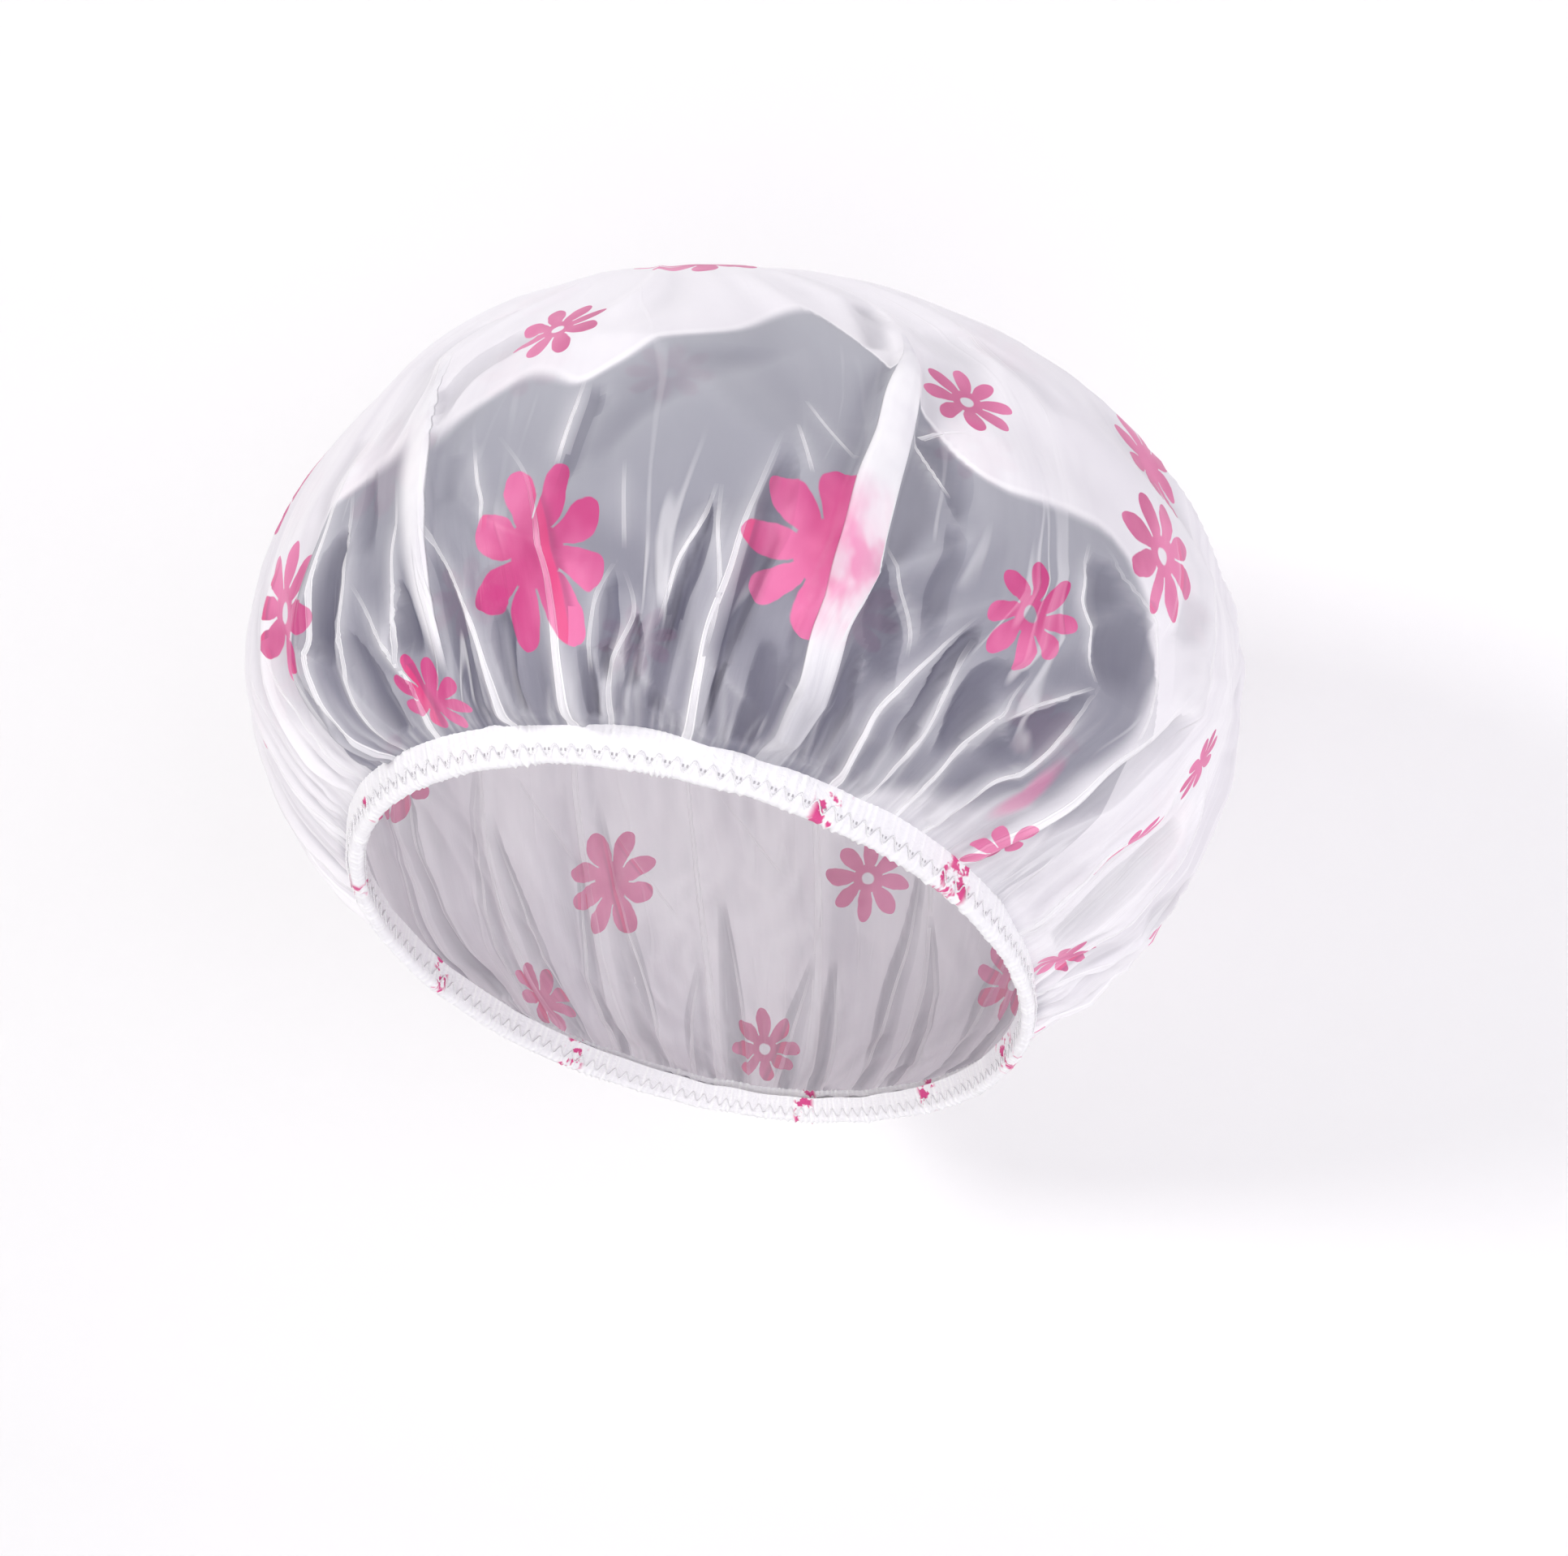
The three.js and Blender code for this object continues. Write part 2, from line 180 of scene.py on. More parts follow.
# Main folds at the sides and the back, as on the solid: turns at the hem and at the upper end, climb reached,
# height in mm
BACK_FOLDS = [
    (120, 125, 0.58, 6), (137, 139, 0.5, 4.8), (152.5, 151, 0.62, 5.4), (168.5, 165.5, 0.52, 4.2),
    (184.5, 183, 0.6, 6), (200, 201.5, 0.5, 4.8), (216, 219.5, 0.64, 6), (232, 234.5, 0.52, 4.8),
    (247.5, 250, 0.58, 5.4), (263, 264, 0.5, 4.8), (276.5, 278, 0.6, 5),
]

# Hollows between crests, sunk and painted with shade: climb with the turns of the two sides, strength of the
# painted shade and of the sinking, side painted darker (0 for a soft painted shade)
HOLLOWS = [
    ([(0.155, -25.5, -24), (0.18, -27.5, -23.8), (0.212, -30.3, -23), (0.245, -29.5, -22.2),
     (0.288, -26.8, -21.6), (0.323, -24.6, -21.4), (0.352, -22.3, -21.8)], 1, 1),
    ([(0.03, -21.5, -18.5), (0.098, -22, -17.3), (0.125, -22.7, -17.5), (0.155, -23.5, -18.3),
     (0.215, -21.8, -21.2)], 0.7, 1),
    ([(0.145, -15.5, -10.6), (0.18, -15, -10.6), (0.233, -13.6, -11.6), (0.273, -13.2, -12.8)], 1, 1),
    ([(0, -8.5, -5), (0.077, -7, -3.8), (0.107, -6.9, -3.6), (0.17, -7, -3.8), (0.195, -7.1, -4),
     (0.25, -7.5, -5.3), (0.27, -7.9, -6), (0.318, -9.2, -8.8)], 0.5, -1),
    ([(0.036, -1, 0.1), (0.11, -1, 0.6), (0.185, -1.2, 1.2), (0.225, -0.3, 0.5)], 0.8, 1),
    ([(0.115, 16, 17), (0.135, 16.3, 17.5), (0.18, 17, 18.8), (0.235, 18, 20), (0.29, 19.5, 21.7),
     (0.33, 21, 22.5), (0.365, 22, 22.6), (0.393, 22.4, 22.6)], 1, 1),
    ([(0.08, 10, 11), (0.155, 10.5, 12.2), (0.19, 10.8, 13), (0.225, 11.1, 13), (0.25, 11.7, 12.9),
     (0.278, 12.4, 12.6)], 0.95, 1),
    ([(0.07, 12, 14), (0.115, 13, 14.8), (0.13, 13.1, 15), (0.175, 13.5, 15.4), (0.2, 14.1, 15.1),
     (0.22, 14.4, 14.7)], 0.85, 1),
    ([(0.04, 21.4, 22.2), (0.16, 23, 24.2), (0.223, 24, 25.9), (0.283, 25, 27.8), (0.338, 26.2, 30),
     (0.37, 26.8, 30.6), (0.393, 27.6, 31), (0.427, 29, 31.4), (0.463, 30.4, 30.7)], 0.9, -1),
    ([(0.045, 14.8, 17), (0.068, 15, 17.3), (0.15, 16, 18.5), (0.193, 16.5, 19.2),
     (0.215, 17.5, 19.5)], 0.4, 1),
    ([(0.02, 7.5, 9.5), (0.1, 8, 9.8), (0.17, 8.3, 10)], 0.45, -1),
    ([(0.37, 5.4, 6.6), (0.42, 6.1, 8.2), (0.47, 6.9, 9.3), (0.52, 7.8, 10.6), (0.55, 8.4, 10)], 0.6, -1),
    ([(0.4, 7, 12), (0.46, 7.5, 14), (0.5, 8, 18), (0.53, 9.3, 23), (0.56, 11, 28), (0.59, 14, 33),
     (0.62, 19, 37)], 0.34, 0),
    ([(0.15, 38, 40.6), (0.193, 37.4, 40.8), (0.24, 37, 40.8), (0.288, 37.3, 39.5),
     (0.328, 38, 38.6)], 0.8, 1),
    ([(0.215, 42.1, 44), (0.295, 43.1, 45.6), (0.348, 44.6, 47), (0.385, 45.6, 46.4)], 0.55, -1),
    ([(0.37, 46.8, 47.2), (0.39, 46.1, 47.6), (0.413, 45.7, 48.5), (0.448, 44.7, 49), (0.482, 44, 47.5),
     (0.5, 43.8, 45.5)], 0.5, -1),
    ([(0.068, 42.6, 44.6), (0.118, 42.8, 45.2), (0.165, 44, 46), (0.203, 44.8, 47), (0.22, 45.6, 48),
     (0.242, 46.8, 49), (0.268, 48.3, 49.2)], 1, -1),
    ([(0.085, 47.5, 50), (0.12, 47.5, 51), (0.155, 47.5, 52), (0.19, 48, 53), (0.212, 48.8, 54.6),
     (0.223, 49.8, 55.2), (0.24, 51.6, 53)], 0.85, -1),
    ([(0.1, 52.2, 56.5), (0.14, 53, 60), (0.16, 53.4, 61), (0.185, 57.5, 61.8), (0.21, 60.5, 62.6),
     (0.233, 63.2, 63.7)], 0.75, -1),
    ([(0.225, 66.5, 70), (0.238, 63.8, 70.2), (0.263, 62.2, 70.5), (0.302, 60.1, 71), (0.33, 59.8, 70),
     (0.348, 59.6, 67), (0.357, 59.6, 66), (0.372, 60.4, 64.5), (0.388, 61.4, 61.8)], 0.66, -1),
    ([(0.05, 64.7, 68.5), (0.085, 65.9, 70), (0.13, 67.4, 73), (0.195, 70.6, 76), (0.23, 73.8, 78.5),
     (0.275, 78, 81)], 0.9, -1),
    ([(0.1, 99, 109), (0.12, 97, 111), (0.15, 97, 112), (0.19, 104, 112)], 0.8, 0),
    ([(0.03, 33.5, 37), (0.1, 34.5, 37.5), (0.16, 35.5, 37.3), (0.22, 36.4, 38)], 0.6, -1),
    ([(0.02, 25, 28.3), (0.1, 25.6, 29), (0.16, 26.5, 29), (0.2, 27.4, 28.6)], 0.5, -1),
    ([(0.1, -41, -36), (0.18, -41, -34), (0.26, -41, -37)], 0.4, -1),
    ([(0.05, -28.5, -26.8), (0.12, -30, -28.4), (0.17, -30.8, -30)], 0.5, 1),
    ([(0.02, 86, 93), (0.07, 82.5, 92), (0.12, 82.5, 90.5), (0.18, 84, 87)], 0.6, -1),
    ([(0.25, 74, 80), (0.32, 74, 82), (0.4, 76, 83)], 0.3, 1),
    ([(0.42, -23, -20), (0.5, -25, -18.5), (0.56, -26.5, -19), (0.62, -27.5, -21.5), (0.68, -25, -18.5),
     (0.74, -16, -9), (0.78, -8, -3.5)], 0.42, 1),
    ([(0.482, -12.5, -11), (0.53, -14.5, -10.5), (0.568, -14, -8.5), (0.6, -12.8, -5), (0.63, -10, -3),
     (0.66, -7, -3.5)], 0.5, -1),
    ([(0.36, -31, -27), (0.42, -33, -28), (0.5, -33, -26)], 0.3, 0),
    ([(0.54, 63, 69), (0.6, 62, 68), (0.67, 58, 64)], 0.3, 0),
    ([(0.6, 42.5, 46.5), (0.64, 44, 49), (0.67, 45, 51.5), (0.7, 46, 53.5), (0.73, 49, 55)], 0.75, 0),
    ([(0.5, 44.5, 53), (0.54, 46.2, 57), (0.59, 48.6, 60), (0.64, 51.4, 63), (0.68, 54, 63)], 0.55, 0),
    ([(0.3, -21, -17), (0.38, -21, -18.5), (0.44, -23, -21)], 0.35, 1),
    ([(0.36, -9, -5), (0.44, -9, -5)], 0.25, 0),
]

# Pleats that lie flat: climb with the turns of the two edges, height in mm
PLEATS = [
    ([(-0.01, 28.8, 32.3), (0.022, 29, 32.5), (0.07, 29.6, 33), (0.103, 30, 33.7), (0.165, 31, 34.8),
     (0.223, 31.7, 35.5), (0.283, 33, 37.5), (0.335, 34.3, 38.7), (0.413, 36.5, 41), (0.475, 39.5, 43.4),
     (0.53, 42, 45.7), (0.603, 47.5, 48.9), (0.657, 50.9, 51.1)], 5.2),
    ([(0.11, -9.6, -8.2), (0.18, -10.6, -7.6), (0.25, -12.2, -8.1), (0.328, -14.1, -9.1),
     (0.403, -16.1, -10.2), (0.475, -17.6, -12), (0.55, -19, -15.4), (0.61, -20.2, -18.6)], 2.4),
]

# Edges of the clearer film over the brow: the whiter film lies above the first and below the second
CLEAR_EDGE = [
    (-180, -0.1), (-36, -0.1), (-33.5, -0.02), (-31.5, 0.24), (-29.5, 0.31), (-26, 0.36), (-22, 0.43),
    (-17, 0.455), (-11.5, 0.455), (-8.5, 0.475), (-4.5, 0.512), (-1, 0.545), (3, 0.548), (6.5, 0.54),
    (10, 0.57), (16.5, 0.605), (23.5, 0.625), (31.5, 0.655), (40, 0.672), (43.5, 0.6), (46, 0.51),
    (48, 0.473), (50, 0.435), (52.5, 0.415), (58.5, 0.412), (64, 0.405), (67, 0.37), (70, 0.335),
    (72, 0.26), (73.5, -0.1), (180, -0.1),
]
LOW_EDGE = [
    (-180, -0.1), (36, -0.1), (42, -0.01), (47, 0.035), (52, 0.06), (57, 0.075), (61, 0.09), (64, 0.125),
    (67, 0.17), (70, 0.23), (72, 0.3), (74, 0.45), (80, 0.45), (90, -0.1), (180, -0.1),
]
# Strength of the white line along the first edge, painted as a fold's whiter film and as a highlight
EDGE_LIGHT = [
    (-180, 0), (-40, 0), (-28, 0.35), (-18, 0.25), (-12, 0.15), (-3, 0.3), (4, 0.25), (8, 0.9), (16, 0.9),
    (24, 0.45), (38, 0.2), (44, 0.7), (50, 1), (56, 0.45), (64, 0.4), (70, 0), (180, 0),
]

# Daisies: degrees, climb, radius in mm, turn of the petals in degrees, kind (1 hollow, 2 seen through folds),
# width and height kept
DAISIES = [
    (4.3, 0.293, 17.6, 34, 0, 0.74, 1), (33, 0.32, 15.5, 35, 0, 1, 1), (0.3, 0.645, 11, 35, 1, 0.83, 1),
    (53, 0.551, 10.2, -6, 1, 1, 0.87), (54, 0.289, 10.6, 5, 1, 1, 1), (72.5, 0.415, 13.4, 25, 1, 1.05, 1),
    (82, 0.55, 13, 8, 0, 0.8, 1), (31.5, 0.88, 14.5, 0, 0, 1, 1), (-36, 0.265, 14, 30, 1, 1, 1),
    (-12, 0.08, 9, 15, 0, 0.8, 1), (-62, 0.2, 7, 0, 0, 1, 1), (64.5, 0.045, 10, 40, 0, 0.55, 1),
    (84.3, 0.232, 8.5, 15, 0, 0.5, 1), (80, 0.12, 10, 30, 0, 0.16, 1), (97, 0.025, 8, 0, 0, 1, 1),
    (61.5, 0.1, 12, 0, 2, 0.3, 1), (124, 0.02, 9, 10, 0, 0.8, 1), (-62, 0.5, 13, 12, 1, 1, 1),
    (-66, 0.84, 12, 30, 0, 1, 1), (-84, 0.34, 13, 5, 1, 1, 1), (-92, 0.1, 12, 20, 0, 0.8, 1),
    (-92, 0.62, 16, 33, 0, 1, 1), (-112, 0.32, 12, 8, 1, 1, 1), (-128, 0.08, 13, 25, 0, 0.8, 1),
    (-122, 0.55, 13, 15, 1, 1, 1), (-112, 0.8, 12, 40, 1, 1, 1), (-146, 0.3, 16, 3, 0, 0.9, 1),
    (-152, 0.56, 12, 22, 1, 1, 1), (-168, 0.11, 13, 35, 1, 0.8, 1), (176, 0.34, 13, 10, 1, 1, 1),
    (174, 0.6, 16, 27, 0, 1, 1), (-160, 0.84, 12, 0, 1, 1, 1), (152, 0.2, 13, 17, 1, 0.9, 1),
    (148, 0.46, 13, 38, 0, 1, 1), (138, 0.06, 12, 9, 1, 0.8, 1), (126, 0.31, 12, 29, 1, 1, 1),
    (140, 0.72, 13, 14, 1, 1, 1), (114, 0.52, 16, 5, 0, 1, 1), (112, 0.17, 11, 21, 1, 0.7, 1),
    (100, 0.76, 13, 33, 1, 1, 1),
]
# The daisy that the big pleat partly hides
HALF_HIDDEN = 1


def unit(vectors):
    return vectors / np.linalg.norm(vectors, axis=-1, keepdims=True)


def radial(turn):
    a = 2 * np.pi * turn
    return np.stack([np.sin(a), -np.cos(a), 0 * a], -1)


def opening_edge(turn):
    """Middle of the hem, and the ways out of it and up from it"""
    a = 2 * np.pi * turn
    s, c = np.sin(a), np.cos(a)
    place = np.stack([OPENING_HALF_WIDTH * s, -OPENING_HALF_DEPTH * c, BROW_RISE * c], -1)
    along = unit(np.stack([OPENING_HALF_WIDTH * c, OPENING_HALF_DEPTH * s, -BROW_RISE * s], -1))
    out = unit(np.stack([s / OPENING_HALF_WIDTH, -c / OPENING_HALF_DEPTH, 0 * s], -1))
    return place, out, np.cross(out, along)


def by_side(turn, sides):
    """Blends the brow, left, nape and right values round the turn"""
    brow, left, nape, right = sides
    s, c = np.sin(2 * np.pi * turn), np.cos(2 * np.pi * turn)
    side, middle = (left + right) / 2, (brow + nape) / 2
    return (side + (brow - nape) / 2 * c + (middle - side) * c * c + (left - right) / 2 * s)[..., None]


def crown(turn, climb):
    """The crown without folds"""
    place, out, up = opening_edge(turn)
    start = place + out * PLY_HALF_SPACING + up * HEM_HALF_WIDTH
    way = radial(turn)
    leaving = start + way * by_side(turn, FLARE) + np.array([0, 0, 1.0]) * by_side(turn, LIFT)
    arriving = CROWN_TOP + way * by_side(turn, SPREAD)
    t = climb[..., None]
    return ((1 - t) ** 3 * start + 3 * (1 - t) ** 2 * t * leaving + 3 * (1 - t) * t * t * arriving
            + t**3 * CROWN_TOP)


def crown_normal(turn, climb):
    step = 1e-3
    t = np.clip(climb, step, 1 - 4 * step)
    across = crown(turn + step, t) - crown(turn - step, t)
    upward = crown(turn, t + step) - crown(turn, t - step)
    return unit(np.cross(across, upward))


def smooth_step(x):
    x = np.clip(x, 0, 1)
    return x * x * (3 - 2 * x)


def chance_field(turn, climb, around, upward, seed):
    """A smooth random field from -1 to 1 that closes round the turn"""
    grid = np.random.default_rng(seed).uniform(-1, 1, (around, upward + 2))
    x, y = (turn % 1) * around, np.clip(climb, 0, 1) * upward
    i, j = np.floor(x).astype(int), np.floor(y).astype(int)
    fx, fy = smooth_step(x - i), smooth_step(y - j)
    i, after = i % around, (i + 1) % around
    low = grid[i, j] * (1 - fx) + grid[after, j] * fx
    high = grid[i, j + 1] * (1 - fx) + grid[after, j + 1] * fx
    return low * (1 - fy) + high * fy


def turn_gap(turn, other):
    return (turn - other + 0.5) % 1 - 0.5


# Lengths along the crown, kept in a table of turn by climb
TABLE_TURNS = np.linspace(0, 1, 241)
TABLE_CLIMBS = np.linspace(0, 1, 161)
table_turn, table_climb = np.meshgrid(TABLE_TURNS, TABLE_CLIMBS, indexing="ij")
table_crown = crown(table_turn, table_climb)
table_steps = np.linalg.norm(np.diff(table_crown, axis=1), axis=-1)
climb_length = np.concatenate([np.zeros((len(TABLE_TURNS), 1)), np.cumsum(table_steps, axis=1)], axis=1)
turn_length = np.linalg.norm(crown(table_turn + 5e-4, table_climb) - crown(table_turn - 5e-4, table_climb),
                             axis=-1) / 1e-3


def from_table(values, turn, climb):
    x, y = (turn % 1) * (len(TABLE_TURNS) - 1), np.clip(climb, 0, 1) * (len(TABLE_CLIMBS) - 1)
    i, j = np.minimum(x.astype(int), len(TABLE_TURNS) - 2), np.minimum(y.astype(int), len(TABLE_CLIMBS) - 2)
    fx, fy = x - i, y - j
    return ((values[i, j] * (1 - fx) + values[i + 1, j] * fx) * (1 - fy)
            + (values[i, j + 1] * (1 - fx) + values[i + 1, j + 1] * fx) * fy)


climb_rate = np.gradient(climb_length, TABLE_CLIMBS, axis=1)
# The climb at a share of the length from the hem to the top
climb_of_share = np.array([np.interp(TABLE_CLIMBS, row / row[-1], TABLE_CLIMBS) for row in climb_length])


def smooth_line(points):
    """A smooth curve through points whose first number rises: 80 rows of the same columns"""
    points = np.array(points, dtype=float)
    x = points[:, 0]
    at = np.linspace(x[0], x[-1], 80)
    if len(points) < 3:
        return np.column_stack([at] + [np.interp(at, x, y) for y in points[:, 1:].T])
    i = np.clip(np.searchsorted(x, at, side="right") - 1, 0, len(x) - 2)
    step = x[i + 1] - x[i]
    f = (at - x[i]) / step
    columns = [at]
    for y in points[:, 1:].T:
        slope = np.gradient(y, x)
        columns.append((2 * f**3 - 3 * f**2 + 1) * y[i] + (f**3 - 2 * f**2 + f) * step * slope[i]
                       + (3 * f**2 - 2 * f**3) * y[i + 1] + (f**3 - f**2) * step * slope[i + 1])
    return np.column_stack(columns)


def more_folds():
    """Guides, crests and hollows for the sides and the back, in the manner of those at the front"""
    rng = np.random.default_rng(23)
    feet = [foot for foot, _, _, _ in BACK_FOLDS]
    guides, crests, hollows = [], [], []
    for i, (foot, head, reach, height) in enumerate(BACK_FOLDS):
        way = rng.uniform(-0.8, 0.8, 4)
        line = [(foot + (head - foot) * share + share * drift, reach * 1.1 * share)
                for share, drift in zip((0, 0.3, 0.6, 1), way)]
        guides.append(line)
        crests.append((line, height, 6.0, 1.0))
        if i + 1 == len(feet):
            continue
        gap = feet[i + 1] - foot
        for share, side in ((rng.uniform(0.3, 0.42), 0), (rng.uniform(0.6, 0.72), 1)):
            start = foot + share * gap
            end = line[2][0] + (gap - 0.6 if side else 0.6) * rng.uniform(0.9, 1.0)
            top = rng.uniform(0.2, 0.42)
            middle = start + (end - start) * 0.35
            crests.append(([(start, 0.0), (middle, 0.5 * top), (end, top)], rng.uniform(2.0, 2.8), 2.0, 0.9))
            low, high = sorted((foot + 1, start - 0.5) if side == 0 else (start + 0.5, feet[i + 1] - 1))
            sides = [(0.02, low, high), (0.5 * top, low + 0.3, high + 0.3), (top, end - 0.6, end + 0.6)]
            hollows.append((sides, rng.uniform(0.5, 0.9), 1 - 2 * side))
        if rng.uniform() < 0.6:
            # A crest that lies across, between two folds
            low = rng.uniform(0.25, 0.45)
            across = [(foot + 0.2 * gap, low), (foot + 0.8 * gap, low + rng.uniform(0.05, 0.1))]
            crests.append((across, 1.4, 2.2, 0.6))
    return guides, crests, hollows


MORE_GUIDES, MORE_CRESTS, MORE_HOLLOWS = more_folds()
guide_lines = [smooth_line([(climb, turn) for turn, climb in line])
               for line in sorted(GUIDES + MORE_GUIDES, key=lambda line: line[0][0])]


def fold_lean(column, share):
    """The turn of a column of the film at each share of its length: the columns lean with the guides"""
    feet = np.array([line[0, 1] for line in guide_lines]) / 360
    shares, rows = np.unique(share, return_inverse=True)
    leans = np.empty((len(shares), len(feet)))
    for k, line in enumerate(guide_lines):
        at = from_table(climb_of_share, np.full(len(shares), feet[k]), shares)
        leans[:, k] = np.interp(at, line[:, 0], line[:, 1]) / 360 - feet[k]
    turn = np.empty_like(column)
    wide = np.concatenate([feet - 1, feet, feet + 1])
    for row in range(len(shares)):
        here = rows == row
        turn[here] = column[here] + np.interp(column[here], wide, np.tile(leans[row], 3))
    return turn


def line_gap(turn, climb, line):
    """Distance in metres across from a line, and a fade towards its ends"""
    low, high = line[0, 0], line[-1, 0]
    at = np.interp(climb, line[:, 0], line[:, 1]) / 360
    slope = np.interp(climb, line[:, 0], np.gradient(line[:, 1], line[:, 0])) / 360
    metric = from_table(turn_length, turn, climb)
    tilt = slope * metric / np.maximum(from_table(climb_rate, turn, climb), 1e-4)
    gap = turn_gap(turn, at) * metric / np.sqrt(1 + tilt**2)
    span = high - low
    fade = smooth_step((high + 0.02 * span - climb) / (0.40 * span))
    if low > 0.005:
        fade = fade * smooth_step((climb - low + 0.02 * span) / (0.30 * span))
    return gap, fade


def cusp(gap, width, rounding):
    """A sharp crest whose sides sag away from it, as on gathered film"""
    return np.exp(-(np.sqrt(gap**2 + rounding**2) - rounding) / width)


def gather_lift(turn, climb, column):
    """Small sharp gathers that leave the hem and run together up the crown"""
    length = from_table(climb_length, turn, climb)
    metric = from_table(turn_length, turn, climb)
    lift, white = np.zeros_like(turn), np.zeros_like(turn)
    rng = np.random.default_rng(11)
    parents = np.array([line[0, 1] for line in guide_lines]) / 360 % 1
    for count, shortest, longest, height, width in GATHERS:
        places = (np.arange(count) + rng.uniform(-0.4, 0.4, count)) / count
        for place in places:
            reach = rng.uniform(shortest, longest)
            tall = height * rng.uniform(0.5, 1.3)
            wide = width * rng.uniform(0.8, 1.3)
            to_parent = turn_gap(parents, place)
            parent = to_parent[np.abs(to_parent).argmin()]
            near = (np.abs(turn_gap(column, place)) < 0.03) & (length < reach)
            s = length[near] / reach
            at = place + parent * 0.55 * s**1.5
            gap = turn_gap(column[near], at) * metric[near]
            fade = (0.55 + 0.45 * smooth_step(s / 0.25)) * (1 - s**2)
            lift[near] += tall * fade * cusp(gap, wide * (0.8 + 0.8 * s), 0.0003)
            line = np.exp(-(gap / (0.55 * wide)) ** 2)
            white[near] = np.maximum(white[near], rng.uniform(0.35, 1.0) * fade * line)
        parents = np.concatenate([parents, places])
    # They stand on film that dips towards the hem
    return lift - 0.0012 * np.exp(-length / 0.02), white


def hollow_share(turn, climb, line):
    """Where a point lies across a hollow or pleat: -1 at its first side, 1 at its second"""
    sides = [np.interp(climb, line[:, 0], line[:, k]) / 360 for k in (1, 2)]
    middle, half = (sides[0] + sides[1]) / 2, np.maximum((sides[1] - sides[0]) / 2, 1e-4)
    return turn_gap(turn, middle) / half, half * from_table(turn_length, turn, climb)


crest_lines = [(smooth_line([(climb, turn) for turn, climb in points]), height / 1000, width / 1000, white)
               for points, height, width, white in CRESTS + MORE_CRESTS]
hollow_lines = [(smooth_line(points), dark, side) for points, dark, side in HOLLOWS + MORE_HOLLOWS]
pleat_lines = [(smooth_line(points), height / 1000) for points, height in PLEATS]


def hollow_ends(climb, line):
    """A fade at the ends of a hollow"""
    run = (climb - line[0, 0]) / (line[-1, 0] - line[0, 0])
    start = smooth_step(run / 0.25 + 0.6) if line[0, 0] < 0.05 else smooth_step(run / 0.25)
    return np.where((run > 0) & (run < 1), start * smooth_step((1 - run) / 0.15), 0)


def away_from_brow(turn, start, span):
    """0 near the brow, rising to 1 over a span of degrees that starts so far from it"""
    return smooth_step((np.abs(turn_gap(turn, 0)) * 360 - start) / span)


def crumple_lift(turn, climb):
    """Broad soft crumples of the loose film"""
    bent = turn + 0.05 * chance_field(turn, climb, 9, 5, 3)
    wave = 1 - 2 * np.abs(chance_field(bent, climb, 26, 4, 5))
    loose = smooth_step((1 - climb) / 0.4)
    # Away from the brow the film is looser, and sharper creases cross it
    away = away_from_brow(turn, 60, 40)
    creased = 1 - 2 * np.abs(chance_field(bent, climb, 40, 9, 6))
    creased = creased + 0.6 * (1 - 2 * np.abs(chance_field(bent, climb, 88, 17, 7)))
    return loose * (0.0014 * wave + 0.0010 * chance_field(turn, climb, 15, 3, 8) + 0.0008 * away * creased)


def film_shape(turn, climb, column):
    """Lift of every fold above the smooth crown, with the gathers' white, partly painted highlight, and the
    painted light beside crests
    """
    gathers, gather_white_and_highlight = gather_lift(turn, climb, column)
    creases, painted_skirt_light, hollow, pleats = (np.zeros_like(turn) for _ in range(4))
    for line, height, width, white in crest_lines:
        gap, fade = line_gap(turn, climb, line)
        near = (np.abs(gap) < 7 * width) & (fade > 0)
        spread = width * (1.1 + 1.2 * smooth_step(climb[near] / 0.25))
        rise = 0.55 + 0.45 * smooth_step(climb[near] / 0.08)
        rounding = LOW_ROUNDING if height < LOW_CREST else ROUNDING
        creases[near] += height * rise * fade[near] * cusp(gap[near], spread, rounding)
        beside = cusp(gap[near], 0.0005 + 0.35 * width, ROUNDING)
        painted_skirt_light[near] = np.maximum(painted_skirt_light[near], white * fade[near] * beside)
    for line, dark, _ in hollow_lines:
        share, _ = hollow_share(turn, climb, line)
        inside = np.abs(share) < 1
        ends = hollow_ends(climb[inside], line)
        hollow[inside] = np.maximum(hollow[inside], dark * ends * (1 - share[inside] ** 2))
    for line, height in pleat_lines:
        share, half = hollow_share(turn, climb, line)
        flat = smooth_step((half * (1 - np.abs(share))) / (0.5 * height) + 0.6)
        ends = smooth_step((line[-1, 0] - climb) / 0.12)
        across = np.clip(share, -1, 1)
        if line[0, 0] < 0.05:
            # The hem holds the foot of this pleat down
            ends = ends * (0.12 + 0.88 * smooth_step(climb / 0.09))
            slant = 0.85 - 0.15 * across
        else:
            ends = ends * smooth_step((climb - line[0, 0] + 0.02) / 0.12)
            slant = 0.55 + 0.45 * across
        pleats = np.maximum(pleats, height * ends * flat * slant)
    # Between its folds the film sags, and most at the nape side, where they stand tallest
    nape = away_from_brow(turn, 95, 40) * smooth_step(climb / 0.05) * smooth_step((1 - climb) / 0.35)
    lift = (crumple_lift(turn, climb) - HOLLOW_DEPTH * hollow
            + np.maximum(gathers + creases - (SAG + NAPE_SAG * nape), pleats))
    return lift, gather_white_and_highlight, painted_skirt_light


def smooth_piece(mesh, name):
    for polygon in mesh.polygons:
        polygon.use_smooth = True
    piece = bpy.data.objects.new(name, mesh)
    bpy.context.scene.collection.objects.link(piece)
    return piece


